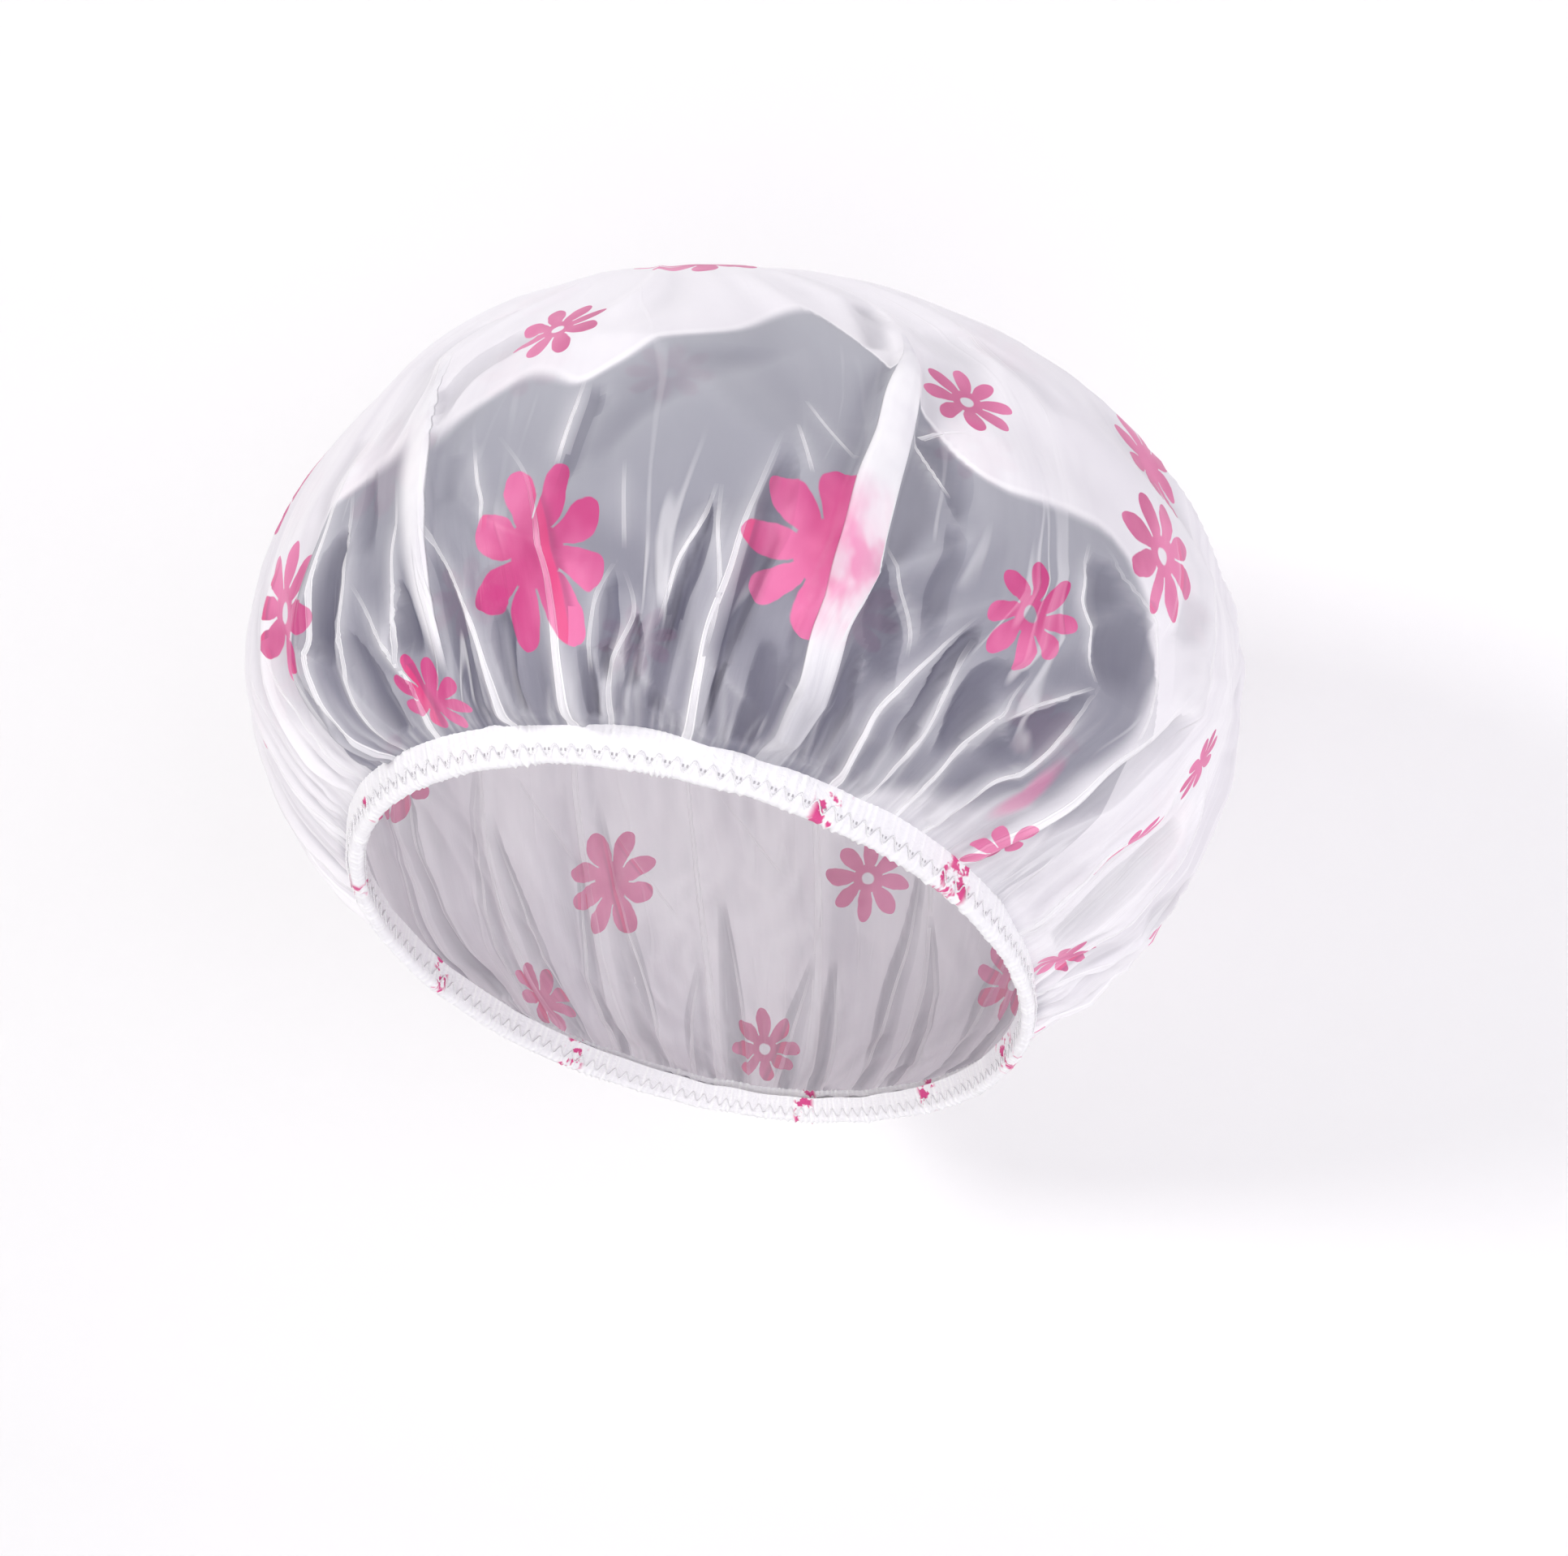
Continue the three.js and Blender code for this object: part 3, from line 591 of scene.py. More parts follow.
def ring_grid(name, columns, rows, place):
    """A grid closed into a ring: place gives each point for its turn and its share across"""
    mesh = bpy.data.meshes.new(name)
    shape = bmesh.new()
    bmesh.ops.create_grid(shape, x_segments=columns, y_segments=rows, size=0.5)
    flat = np.array([v.co[:2] for v in shape.verts]) + 0.5
    shape.to_mesh(mesh)
    shape.free()
    shares = np.clip(flat, 0, 1)
    points = place(shares[:, 0], shares[:, 1])
    mesh.vertices.foreach_set("co", points.astype(np.float32).ravel())
    mesh.update()
    return mesh, shares


def close_ring(mesh, name):
    """Merges the seam, and the crown's top on the film, and gives the finished piece"""
    shape = bmesh.new()
    shape.from_mesh(mesh)
    bmesh.ops.remove_doubles(shape, verts=shape.verts, dist=2e-6)
    shape.to_mesh(mesh)
    shape.free()
    return smooth_piece(mesh, name)


def point_values(mesh, name, values):
    mesh.attributes.new(name, "FLOAT", "POINT").data.foreach_set("value", values.astype(np.float32))


def corner_map(mesh, name, per_point):
    """Writes a UV map from one pair of numbers for each point"""
    layer = mesh.uv_layers.new(name=name)
    corners = np.empty(len(mesh.loops), dtype=np.int32)
    mesh.loops.foreach_get("vertex_index", corners)
    layer.data.foreach_set("uv", per_point[corners].astype(np.float32).ravel())


def run_map(mesh, shares):
    """A UV map of the place along a ring, in tenths of a metre, and the share across or around it"""
    corner_map(mesh, "run", np.stack([shares[:, 0] * RING_LENGTH * 10, shares[:, 1]], -1))


def film_grid():
    """Two grids, joined at a row: the mesh with the column and the share of length of each point"""
    shape = bmesh.new()
    bmesh.ops.create_grid(shape, x_segments=2 * COLUMNS, y_segments=GATHER_ROWS, size=0.5)
    low_count = len(shape.verts)
    bmesh.ops.create_grid(shape, x_segments=COLUMNS, y_segments=CROWN_ROWS, size=0.5)
    flat = np.array([v.co[:2] for v in shape.verts]) + 0.5
    mesh = bpy.data.meshes.new("film")
    shape.to_mesh(mesh)
    shape.free()
    low = np.arange(len(flat)) < low_count
    i = np.round(flat[:, 0] * np.where(low, 2 * COLUMNS, COLUMNS)).astype(int) * np.where(low, 1, 2)
    j = np.round(flat[:, 1] * np.where(low, GATHER_ROWS, CROWN_ROWS)).astype(int)
    # The fine grid's last row meets every second column
    i = np.where(low & (j == GATHER_ROWS), (i + 1) // 2 * 2, i)
    v = j / CROWN_ROWS
    share = np.where(low, GATHER_SHARE * j / GATHER_ROWS,
                     GATHER_SHARE + (1 - GATHER_SHARE) * (0.55 * v + 0.45 * v * v))
    return mesh, i / (2 * COLUMNS), share, low, i, j


def soften(values, low, i, j, reach):
    """Averages values round the ring over a reach in metres"""
    result = np.empty_like(values)
    for part, columns, rows, step in ((low, 2 * COLUMNS, GATHER_ROWS, 1), (~low, COLUMNS, CROWN_ROWS, 2)):
        table = np.zeros((rows + 1, columns))
        place = (j[part], i[part] // step % columns)
        table[place] = values[part]
        if step == 1:
            table[-1, 1::2] = table[-1, ::2]
        # The film's rings near the hem, where its folds are finest, are about 0.66 m round
        spacing = 0.66 / columns
        damping = np.exp(-2 * (np.pi * np.fft.rfftfreq(columns) * reach / spacing) ** 2)
        soft = np.fft.irfft(np.fft.rfft(table, axis=1) * damping, n=columns, axis=1)
        result[part] = soft[place]
    return result


def round_profile(turn, points):
    """Values given by degrees of turn, with their corners rounded"""
    degrees = np.arange(-180, 180, 0.5)
    values = np.interp(degrees, [p[0] for p in points], [p[1] for p in points])
    reach = np.exp(-0.5 * (np.arange(-6, 7) / 2) ** 2)
    values = np.convolve(np.concatenate([values[-6:], values, values[:6]]), reach / reach.sum(), mode="valid")
    return np.interp(turn_gap(turn, 0) * 360, degrees, values)


def write_edges(mesh, turn, climb, length):
    """Distances past the edges of the clearer film, and the strength of the white line"""
    past_edge = length - from_table(climb_length, turn, round_profile(turn, CLEAR_EDGE))
    past_edge = past_edge + 0.0025 * chance_field(turn, climb, 40, 12, 21)
    low_edge = round_profile(turn, LOW_EDGE)
    below = from_table(climb_length, turn, low_edge) - length + 0.004 * chance_field(turn, climb, 50, 20, 22)
    light = round_profile(turn, EDGE_LIGHT)
    past_edge = past_edge * np.clip(0.4 + light, 0.4, 1)
    point_values(mesh, "past_edge", np.clip(past_edge / EDGE_REACH, -1, 1))
    point_values(mesh, "below_edge", np.clip(np.where(low_edge > -0.09, below / EDGE_REACH, -1), -1, 1))
    point_values(mesh, "edge_light", light)


def write_places(mesh, column, share, turn, length):
    """Where each point lies on the flat disc, and on the stream that runs with the gathers"""
    around = np.linspace(0, 1, 721)
    edge = crown(around, np.zeros(len(around)))
    run = np.concatenate([[0], np.cumsum(np.linalg.norm(np.diff(edge, axis=0), axis=1))])
    swing = 2 * np.pi * np.interp(turn, around, run / run[-1])
    rim = DISC_RADIUS * np.stack([np.sin(swing), -np.cos(swing)], -1)
    # The crown's top lies off the disc's middle, because more of the film goes to the nape side
    corner_map(mesh, "disc", rim * (1 - share)[:, None] + np.array([0, -0.075]) * share[:, None])
    a = 2 * np.pi * column
    stream = np.stack([np.cos(a), np.sin(a), length / 0.4], -1)
    layer = mesh.attributes.new("stream", "FLOAT_VECTOR", "POINT")
    layer.data.foreach_set("vector", stream.astype(np.float32).ravel())


def nearest_for_faces(mesh, choices):
    """Gives each face the choice nearest over its corners: its values there, which it is, and how near"""
    corners = np.empty(len(mesh.loops), dtype=np.int32)
    mesh.loops.foreach_get("vertex_index", corners)
    corners = corners.reshape(-1, 4)
    best = np.full(len(corners), np.inf)
    kept = np.zeros((len(corners), 4, 2))
    which = np.zeros(len(corners), dtype=int)
    for k, (values, distance) in enumerate(choices):
        farthest = distance[corners].max(axis=1)
        closer = farthest < best
        best[closer] = farthest[closer]
        kept[closer] = values[corners[closer]]
        which[closer] = k
    return kept.reshape(-1, 2), which, best


def write_daisies(mesh, turn, climb, smooth):
    """Gives each face its place on the nearest daisy, in petal lengths"""
    choices = []
    for k, (degrees, rise, radius, swing, _, wide, high) in enumerate(DAISIES):
        centre_turn, centre_climb = np.array([degrees / 360]), np.array([rise])
        centre = crown(centre_turn, centre_climb)[0]
        normal = crown_normal(centre_turn, centre_climb)[0]
        across = crown(centre_turn + 1e-3, centre_climb)[0] - centre
        across = unit(across - normal * (across @ normal))
        upward = np.cross(normal, across)
        away = smooth - centre
        x, y = away @ across / wide, away @ upward / high
        c, s = math.cos(math.radians(swing)), math.sin(math.radians(swing))
        place = np.stack([x * c + y * s, y * c - x * s], -1) / radius * 1000
        distance = np.hypot(place[:, 0], place[:, 1]) + 9 * (np.abs(away @ normal) > 0.03)
        if k == HALF_HIDDEN:
            share, _ = hollow_share(turn, climb, pleat_lines[0][0])
            distance = distance + 9 * (share > 1.02)
        choices.append((place, distance))
    place, which, distance = nearest_for_faces(mesh, choices)
    place[np.repeat(distance > 2.2, 4)] = 5
    mesh.uv_layers.new(name="daisy").data.foreach_set("uv", (place * MAP_UNIT).astype(np.float32).ravel())
    kinds = np.array([daisy[4] for daisy in DAISIES])[which]
    mesh.attributes.new("daisy_kind", "FLOAT", "FACE").data.foreach_set("value", kinds.astype(np.float32))


def write_map(mesh, name, choices):
    """Writes the nearest choice of each face as a UV map, so that the lines it draws stay sharp"""
    values, _, _ = nearest_for_faces(mesh, choices)
    mesh.uv_layers.new(name=name).data.foreach_set("uv", values.astype(np.float32).ravel())


def write_fold_lines(mesh, turn, climb):
    """Places across the nearest crest, pleat and hollow, each with a strength"""
    choices = []
    for line, height, _, white in crest_lines:
        gap, fade = line_gap(turn, climb, line)
        # A crest is a flattened ribbon at the hem and narrows upwards
        run = np.clip((climb - line[0, 0]) / (line[-1, 0] - line[0, 0]), 0, 1)
        foot = 0.0002 + 0.42 * max(height - 0.001, 0) * (0.5 if line[0, 1] < -20 else 1)
        widening = max((foot if line[0, 0] < 0.02 else 0.0004) - CREST_HALF, 0)
        half = CREST_HALF + widening * (1 - run) ** 1.5
        choices.append((np.stack([np.clip(gap / half, -8, 8) * MAP_UNIT, white * fade], -1),
                        np.abs(gap) + 0.05 * (fade < 0.01)))
    write_map(mesh, "crest", choices)
    choices = []
    for line, _ in pleat_lines:
        share, _ = hollow_share(turn, climb, line)
        ends = smooth_step((line[-1, 0] + 0.01 - climb) / 0.03)
        if line[0, 0] > 0.05:
            # A negative strength marks the pleat with one soft side
            ends = -ends * smooth_step((climb - line[0, 0] + 0.01) / 0.12)
        else:
            ends = ends * (0.24 + 0.76 * smooth_step((climb - 0.09) / 0.16))
        choices.append((np.stack([np.clip(share, -4, 4) * MAP_UNIT, ends], -1), np.abs(share)))
    write_map(mesh, "pleat", choices)
    choices = []
    for line, dark, side in hollow_lines:
        share, _ = hollow_share(turn, climb, line)
        strength = dark * hollow_ends(climb, line)
        # A negative strength marks a soft shade
        across = np.clip(share * (side or 1), -3, 3) * MAP_UNIT
        choices.append((np.stack([across, strength if side else -strength], -1),
                        np.abs(share) + 9 * (strength < 0.01)))
    write_map(mesh, "hollow", choices)


def make_film():
    mesh, column, share, low, i, j = film_grid()
    turn = fold_lean(column, share)
    climb = from_table(climb_of_share, turn, share)
    length = from_table(climb_length, turn, climb)
    lift, white, painted_skirt_light = film_shape(turn, climb, column % 1)
    smooth, normal = crown(turn, climb), crown_normal(turn, climb)
    sink = 1 - smooth_step(length / SINK_LENGTH)
    _, out, up = opening_edge(turn)
    points = (smooth + normal * (lift * (1 - 0.5 * sink))[:, None]
              - (out * SINK_IN + up * SINK_DOWN) * sink[:, None])
    points = np.where((climb > 0.9999)[:, None], CROWN_TOP, points)
    mesh.vertices.foreach_set("co", points.astype(np.float32).ravel())
    mesh.update()
    relief = lift - soften(lift, low, i, j, FINE_REACH)
    broad = lift - soften(lift, low, i, j, BROAD_REACH)
    # The drawn crests take over from the relief above the gathers of the brow
    shown = 1 - 0.75 * smooth_step((climb - 0.10) / 0.12) * (1 - away_from_brow(turn, 60, 40))
    # Whiter film on the ridges, where it turns, with a painted highlight along them
    point_values(mesh, "ridge", np.clip(np.maximum(white, relief / FULL_RIDGE * shown), 0, 1))
    # Valleys between the folds, which the film's material paints with shade
    point_values(mesh, "valley", np.clip(-0.6 * relief / FULL_VALLEY - 0.5 * broad / FULL_BROAD, 0, 1))
    point_values(mesh, "painted_skirt_light", painted_skirt_light)
    point_values(mesh, "climb", climb)
    write_edges(mesh, turn, climb, length)
    write_places(mesh, column, share, turn, length)
    write_daisies(mesh, turn, climb, smooth)
    write_fold_lines(mesh, turn, climb)
    return close_ring(mesh, "film")


film = make_film()
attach(film, "root")
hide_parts("film_cap")


# Hem: the film turned over the elastic, finely ruffled
def ruffle(turn):
    """Ridges of the gathered hem, 0 to 1, at chance spacings of one to three millimetres"""
    rng = np.random.default_rng(31)
    spacing = rng.uniform(0.5, 1.5, RUFFLES)
    crests = np.concatenate([[0], np.cumsum(spacing)]) / spacing.sum()
    tall = rng.uniform(0.15, 1.0, RUFFLES + 1)
    tall[-1] = tall[0]
    i = np.clip(np.searchsorted(crests, turn % 1, side="right") - 1, 0, RUFFLES - 1)
    share = (turn % 1 - crests[i]) / (crests[i + 1] - crests[i])
    bend = np.abs(2 * share - 1) ** 1.5
    return bend * (tall[i] * (1 - share) + tall[i + 1] * share)


def hem_offset(turn, across):
    """Outward and upward offsets of the hem's wall, from its top outside round the fold to its raw edge"""
    flat_low = -HEM_HALF_WIDTH + PLY_HALF_SPACING
    outer = np.clip(across / 0.44, 0, 1)
    sweep = np.pi * np.clip((across - 0.44) / 0.12, 0, 1)
    inner = np.clip((across - 0.56) / 0.44, 0, 1)
    outward = PLY_HALF_SPACING * np.cos(sweep)
    upward = (HEM_HALF_WIDTH + 0.0002) * (1 - outer) + flat_low * outer - PLY_HALF_SPACING * np.sin(sweep)
    upward = upward + (HEM_HALF_WIDTH - RAW_EDGE_DROP - flat_low) * inner
    ridge = ruffle(turn)
    # The seam draws the ruffles in
    pinch = 1 - 0.75 * np.exp(-((upward + 0.0013) / 0.0011) ** 2)
    belly = np.sin(np.pi * outer) * HEM_BELLY
    wave = (ridge - 0.25) * RUFFLE_LIFT * pinch * (0.45 + 0.55 * np.sin(np.pi * across))
    outward = outward + np.where(across < 0.5, 1.0, -1.0) * (belly + wave)
    scallop = 0.0006 + 0.0005 * chance_field(turn, 0 * turn, 170, 1, 43)
    upward = upward - np.sin(sweep) * scallop * (ridge - 0.2)
    upward = upward + (1 - outer) * 0.0005 * (ridge - 0.4) * (across < 0.44)
    return outward, upward


def make_hem():
    def place(turn, across):
        middle, out, up = opening_edge(turn)
        outward, upward = hem_offset(turn, across)
        weave = 0.00035 * chance_field(turn, 0 * turn, 60, 1, 41)
        return middle + out * outward[:, None] + up * (upward + weave)[:, None]

    mesh, shares = ring_grid("hem", 1500, 26, place)
    run_map(mesh, shares)
    point_values(mesh, "ruffle", ruffle(shares[:, 0]))
    tint = np.zeros(len(shares))
    for middle, half in HEM_INK:
        apart = np.abs(turn_gap(shares[:, 0], middle / 360)) * 360
        tint = np.maximum(tint, np.clip(1.5 - 1.5 * apart / half, 0, 1))
    point_values(mesh, "tint", tint)
    return close_ring(mesh, "hem")


hem = make_hem()
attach(hem, "root")
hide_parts("film_cap")


# Elastic: a flat woven strip inside the hem
def make_elastic():
    def place(turn, around):
        a = 2 * np.pi * around
        middle, out, up = opening_edge(turn)
        # A rectangle with rounded corners
        outward = ELASTIC_SHIFT + ELASTIC_THICKNESS / 2 * np.sign(np.cos(a)) * np.abs(np.cos(a)) ** 0.35
        upward = ELASTIC_WIDTH / 2 * np.sign(np.sin(a)) * np.abs(np.sin(a)) ** 0.35
        return middle + out * outward[:, None] + up * upward[:, None]

    mesh, shares = ring_grid("elastic", 720, 16, place)
    run_map(mesh, shares)
    return close_ring(mesh, "elastic")


elastic = make_elastic()
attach(elastic, "root")
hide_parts("elastic_band")


# Threads: one zigzag on each face of the hem
def make_thread(name, node, outside):
    def place(turn, around):
        sway = np.abs(2 * (turn * STITCH_COUNT % 1) - 1)
        height = STITCH_LOW + STITCH_WIDTH * smooth_step(sway)
        wall, _ = hem_offset(turn, np.full_like(turn, 0.22 if outside else 0.78))
        wall = wall + (THREAD_STANDOFF if outside else -THREAD_STANDOFF)
        middle, out, up = opening_edge(turn)
        a = 2 * np.pi * around
        return (middle + out * (wall + THREAD_RADIUS * np.cos(a))[:, None]
                + up * (height + 1.6 * THREAD_RADIUS * np.sin(a))[:, None])

    mesh, shares = ring_grid(name, STITCH_COUNT * 8, 6, place)
    run_map(mesh, shares)
    piece = close_ring(mesh, name)
    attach(piece, "root")
    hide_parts(node)
    return piece


needle_thread = make_thread("seam_thread_outside", "needle_thread", True)
bobbin_thread = make_thread("seam_thread_inside", "bobbin_thread", False)


# Materials
class Nodes:
    """Short ways to place and join the nodes of one material or group"""

    def __init__(self, tree):
        self.tree = tree

    def add(self, kind, inputs=(), **settings):
        node = self.tree.nodes.new(kind)
        for key, value in settings.items():
            setattr(node, key, value)
        for name, value in dict(inputs).items():
            self.feed(node, name, value)
        return node

    def feed(self, node, name, value):
        socket = node.inputs[name]
        if isinstance(value, bpy.types.NodeSocket):
            self.tree.links.new(value, socket)
        else:
            socket.default_value = value

    def math(self, operation, a, b=0.5, c=0.5, clamp=False):
        return self.add("ShaderNodeMath", {0: a, 1: b, 2: c}, operation=operation, use_clamp=clamp).outputs[0]

    times = partialmethod(math, "MULTIPLY")
    plus = partialmethod(math, "ADD")
    minus = partialmethod(math, "SUBTRACT")
    most = partialmethod(math, "MAXIMUM")
    size_of = partialmethod(math, "ABSOLUTE")

    def ramp(self, value, low, high, to_low=0.0, to_high=1.0, smooth=True):
        inputs = {"Value": value, "From Min": low, "From Max": high, "To Min": to_low, "To Max": to_high}
        return self.add("ShaderNodeMapRange", inputs,
                        interpolation_type="SMOOTHSTEP" if smooth else "LINEAR").outputs["Result"]

    def band(self, value, middle, outer, inner):
        """1 near the middle, from the inner distance falling to 0 at the outer one"""
        return self.ramp(self.size_of(self.minus(value, middle)), outer, inner)

    def blend(self, share, a, b):
        return self.add("ShaderNodeMix", {0: share, 6: a, 7: b}, data_type="RGBA").outputs[2]

    def mix_value(self, share, a, b):
        return self.add("ShaderNodeMix", {0: share, 2: a, 3: b}, data_type="FLOAT").outputs[0]

    def attribute(self, name, output="Fac"):
        return self.add("ShaderNodeAttribute", attribute_name=name, attribute_type="GEOMETRY").outputs[output]

    def object_place(self):
        return self.add("ShaderNodeTexCoord").outputs["Object"]

    def uv(self, name):
        return self.add("ShaderNodeUVMap", uv_map=name).outputs["UV"]

    def split(self, vector):
        parts = self.add("ShaderNodeSeparateXYZ", {0: vector})
        return parts.outputs["X"], parts.outputs["Y"]

    def vector(self, operation, a, b, kind=1):
        return self.add("ShaderNodeVectorMath", {0: a, kind: b}, operation=operation).outputs[0]

    def scaled(self, vector, scale):
        return self.add("ShaderNodeMapping", {"Vector": vector, "Scale": scale}).outputs[0]

    def noise(self, vector, scale, detail=2.0, roughness=0.5, output="Fac"):
        inputs = {"Vector": vector, "Scale": scale, "Detail": detail, "Roughness": roughness}
        return self.add("ShaderNodeTexNoise", inputs).outputs[output]

    def relief(self, shader, height, strength):
        """Puts a height in metres on the shader as a bump"""
        bump = self.add("ShaderNodeBump", {"Height": height, "Strength": strength, "Distance": 1.0})
        self.feed(shader, "Normal", bump.outputs[0])


def new_material(name):
    material = bpy.data.materials.new(name)
    material.use_nodes = True
    nodes = Nodes(material.node_tree)
    shader = material.node_tree.nodes["Principled BSDF"]
    return material, nodes, shader


def sRGB(red, green, blue):
    def part(x):
        x /= 255
        return x / 12.92 if x <= 0.04045 else ((x + 0.055) / 1.055) ** 2.4
    return (part(red), part(green), part(blue), 1)


# The surround that the camera sees, and the painted light on the film beside its crests
SURROUND = sRGB(250, 249, 252)


def daisy_group():
    """Eight rounded petals: the mask of the print at a place given in petal lengths"""
    tree = bpy.data.node_groups.new("daisy_print", "ShaderNodeTree")
    tree.interface.new_socket("Place", in_out="INPUT", socket_type="NodeSocketVector")
    tree.interface.new_socket("Kind", in_out="INPUT", socket_type="NodeSocketFloat")
    for name in ("Mask", "Glow", "Veiled"):
        tree.interface.new_socket(name, in_out="OUTPUT", socket_type="NodeSocketFloat")
    n = Nodes(tree)
    start = n.add("NodeGroupInput")
    end = n.add("NodeGroupOutput")
    x, y = n.split(start.outputs["Place"])
    is_hollow, is_veiled = (n.math("COMPARE", start.outputs["Kind"], kind, 0.1) for kind in (1.0, 2.0))
    far = n.math("SQRT", n.plus(n.times(x, x), n.times(y, y)))
    angle = n.math("ARCTAN2", y, x)
    # Angle from the middle of the nearest petal
    eighth = math.pi / 4
    petal = n.minus(n.math("FRACT", n.plus(n.math("DIVIDE", angle, eighth), 8.5)), 0.5)
    petal_angle = n.times(petal, eighth)
    along = n.times(far, n.math("COSINE", petal_angle))
    aside = n.size_of(n.times(far, n.math("SINE", petal_angle)))
    # A petal is an egg: its half width grows to 0.70 of its length, then closes in a round end
    share = n.times(n.minus(along, 0.70), 1 / 0.30)
    end_round = n.math("SQRT", n.most(n.minus(1.0, n.times(share, share)), 0.0))
    taper = n.math("SINE", n.times(n.plus(along, -0.08), math.pi / 1.24))
    widest = n.mix_value(is_hollow, 0.210, 0.200)
    wide = n.times(n.mix_value(n.math("GREATER_THAN", along, 0.70), taper, end_round), widest)
    petal_mask = n.ramp(n.minus(wide, aside), -0.008, 0.014)
    petal_mask = n.times(petal_mask, n.math("LESS_THAN", along, 1.0))
    solid = n.most(petal_mask, n.ramp(far, 0.40, 0.36))
    hollow_mask = n.times(n.most(petal_mask, n.ramp(far, 0.38, 0.34)), n.ramp(far, 0.13, 0.17))
    mask = n.mix_value(is_hollow, solid, hollow_mask)
    tree.links.new(n.mix_value(is_veiled, mask, 0.0), end.inputs["Mask"])
    tree.links.new(n.ramp(far, 1.15, 0.25), end.inputs["Glow"])
    tree.links.new(n.times(is_veiled, n.ramp(far, 1.0, 0.4)), end.inputs["Veiled"])
    return tree


DAISY_PRINT = daisy_group()


# Film colours: clear and milky parts, painted shade in pockets and grooves, the ink by where it lies and
# under painted light and shade, the layers of a pleat, and white folds with their painted highlight
CLEAR_LOW, CLEAR_HIGH, CLEAR_CLOUD = sRGB(120, 120, 136), sRGB(166, 168, 177), sRGB(186, 187, 194)
MILKY_GREY, MILKY_WHITE, TOP_WHITE = sRGB(232, 229, 235), sRGB(250, 248, 251), sRGB(250, 248, 252)
INK_DEEP, INK_PALE, INK_IN_POCKET_SHADE, INK_MILKY = (
    sRGB(196, 52, 124), sRGB(230, 116, 168), sRGB(150, 40, 100), sRGB(246, 178, 208))
INK_FLANK, INK_SHADE, INK_CREST_HIGHLIGHT = sRGB(226, 44, 116), sRGB(150, 52, 102), sRGB(252, 184, 214)
PLEAT_GREY, PLEAT_WHITE, PLEAT_GLOW = sRGB(232, 230, 236), sRGB(250, 249, 251), sRGB(236, 120, 176)
PAINTED_POCKET_SHADE, PAINTED_GROOVE_SHADE, FOLD_WHITE_AND_HIGHLIGHT, VEILED_INK = (
    sRGB(66, 66, 92), sRGB(84, 84, 104), sRGB(253, 252, 254), sRGB(232, 110, 168))


def printed_daisy(n, disc):
    """The daisy print, whose edges wander a little and whose petals the slack film draws out of shape"""
    place = n.scaled(n.uv("daisy"), (1 / MAP_UNIT,) * 3)
    for scale, reach in ((260.0, 0.05), (62.0, 0.32)):
        drift = n.vector("SUBTRACT", n.noise(disc, scale, 1.0, output="Color"), (0.5, 0.5, 0.5))
        place = n.vector("ADD", place, n.vector("SCALE", drift, reach, "Scale"))
    daisy = n.add("ShaderNodeGroup", node_tree=DAISY_PRINT)
    n.feed(daisy, "Place", place)
    n.feed(daisy, "Kind", n.attribute("daisy_kind"))
    return daisy.outputs["Mask"], daisy.outputs["Glow"], daisy.outputs["Veiled"]


def painted_hollow_shade(n):
    """Strength of the painted shade in the hollows, which has sharp sides unless its strength is negative"""
    hollow_x, shade_strength = n.split(n.uv("hollow"))
    hollow_x = n.times(hollow_x, 1 / MAP_UNIT)
    aside = n.size_of(hollow_x)
    is_soft = n.math("LESS_THAN", shade_strength, 0.0)
    hollow_shade = n.mix_value(is_soft, n.ramp(aside, 1.04, 0.92), n.ramp(aside, 1.0, 0.1))
    slope = n.ramp(hollow_x, -1.0, 1.0, 0.45, 1.0, smooth=False)
    return n.times(n.times(hollow_shade, n.size_of(shade_strength)), slope)


def pleat_marks(n, stream):
    """Pleats that lie flat, three layers of film: their whiteness, and their whiter edges"""
    pleat_x, pleat_strength = n.split(n.uv("pleat"))
    pleat_x = n.times(pleat_x, 1 / MAP_UNIT)
    waver = n.times(n.minus(n.noise(stream, 9.0), 0.5), 0.10)
    pleat_side = n.plus(n.size_of(pleat_x), waver)
    one_soft = n.math("LESS_THAN", pleat_strength, 0.0)
    layered = n.times(n.ramp(pleat_side, 1.02, 0.97), n.size_of(pleat_strength))
    layered = n.times(layered, n.mix_value(one_soft, 1.0, n.ramp(pleat_x, -1.0, 0.5)))
    return layered, n.times(n.band(pleat_side, 0.95, 0.07, 0.02), layered)


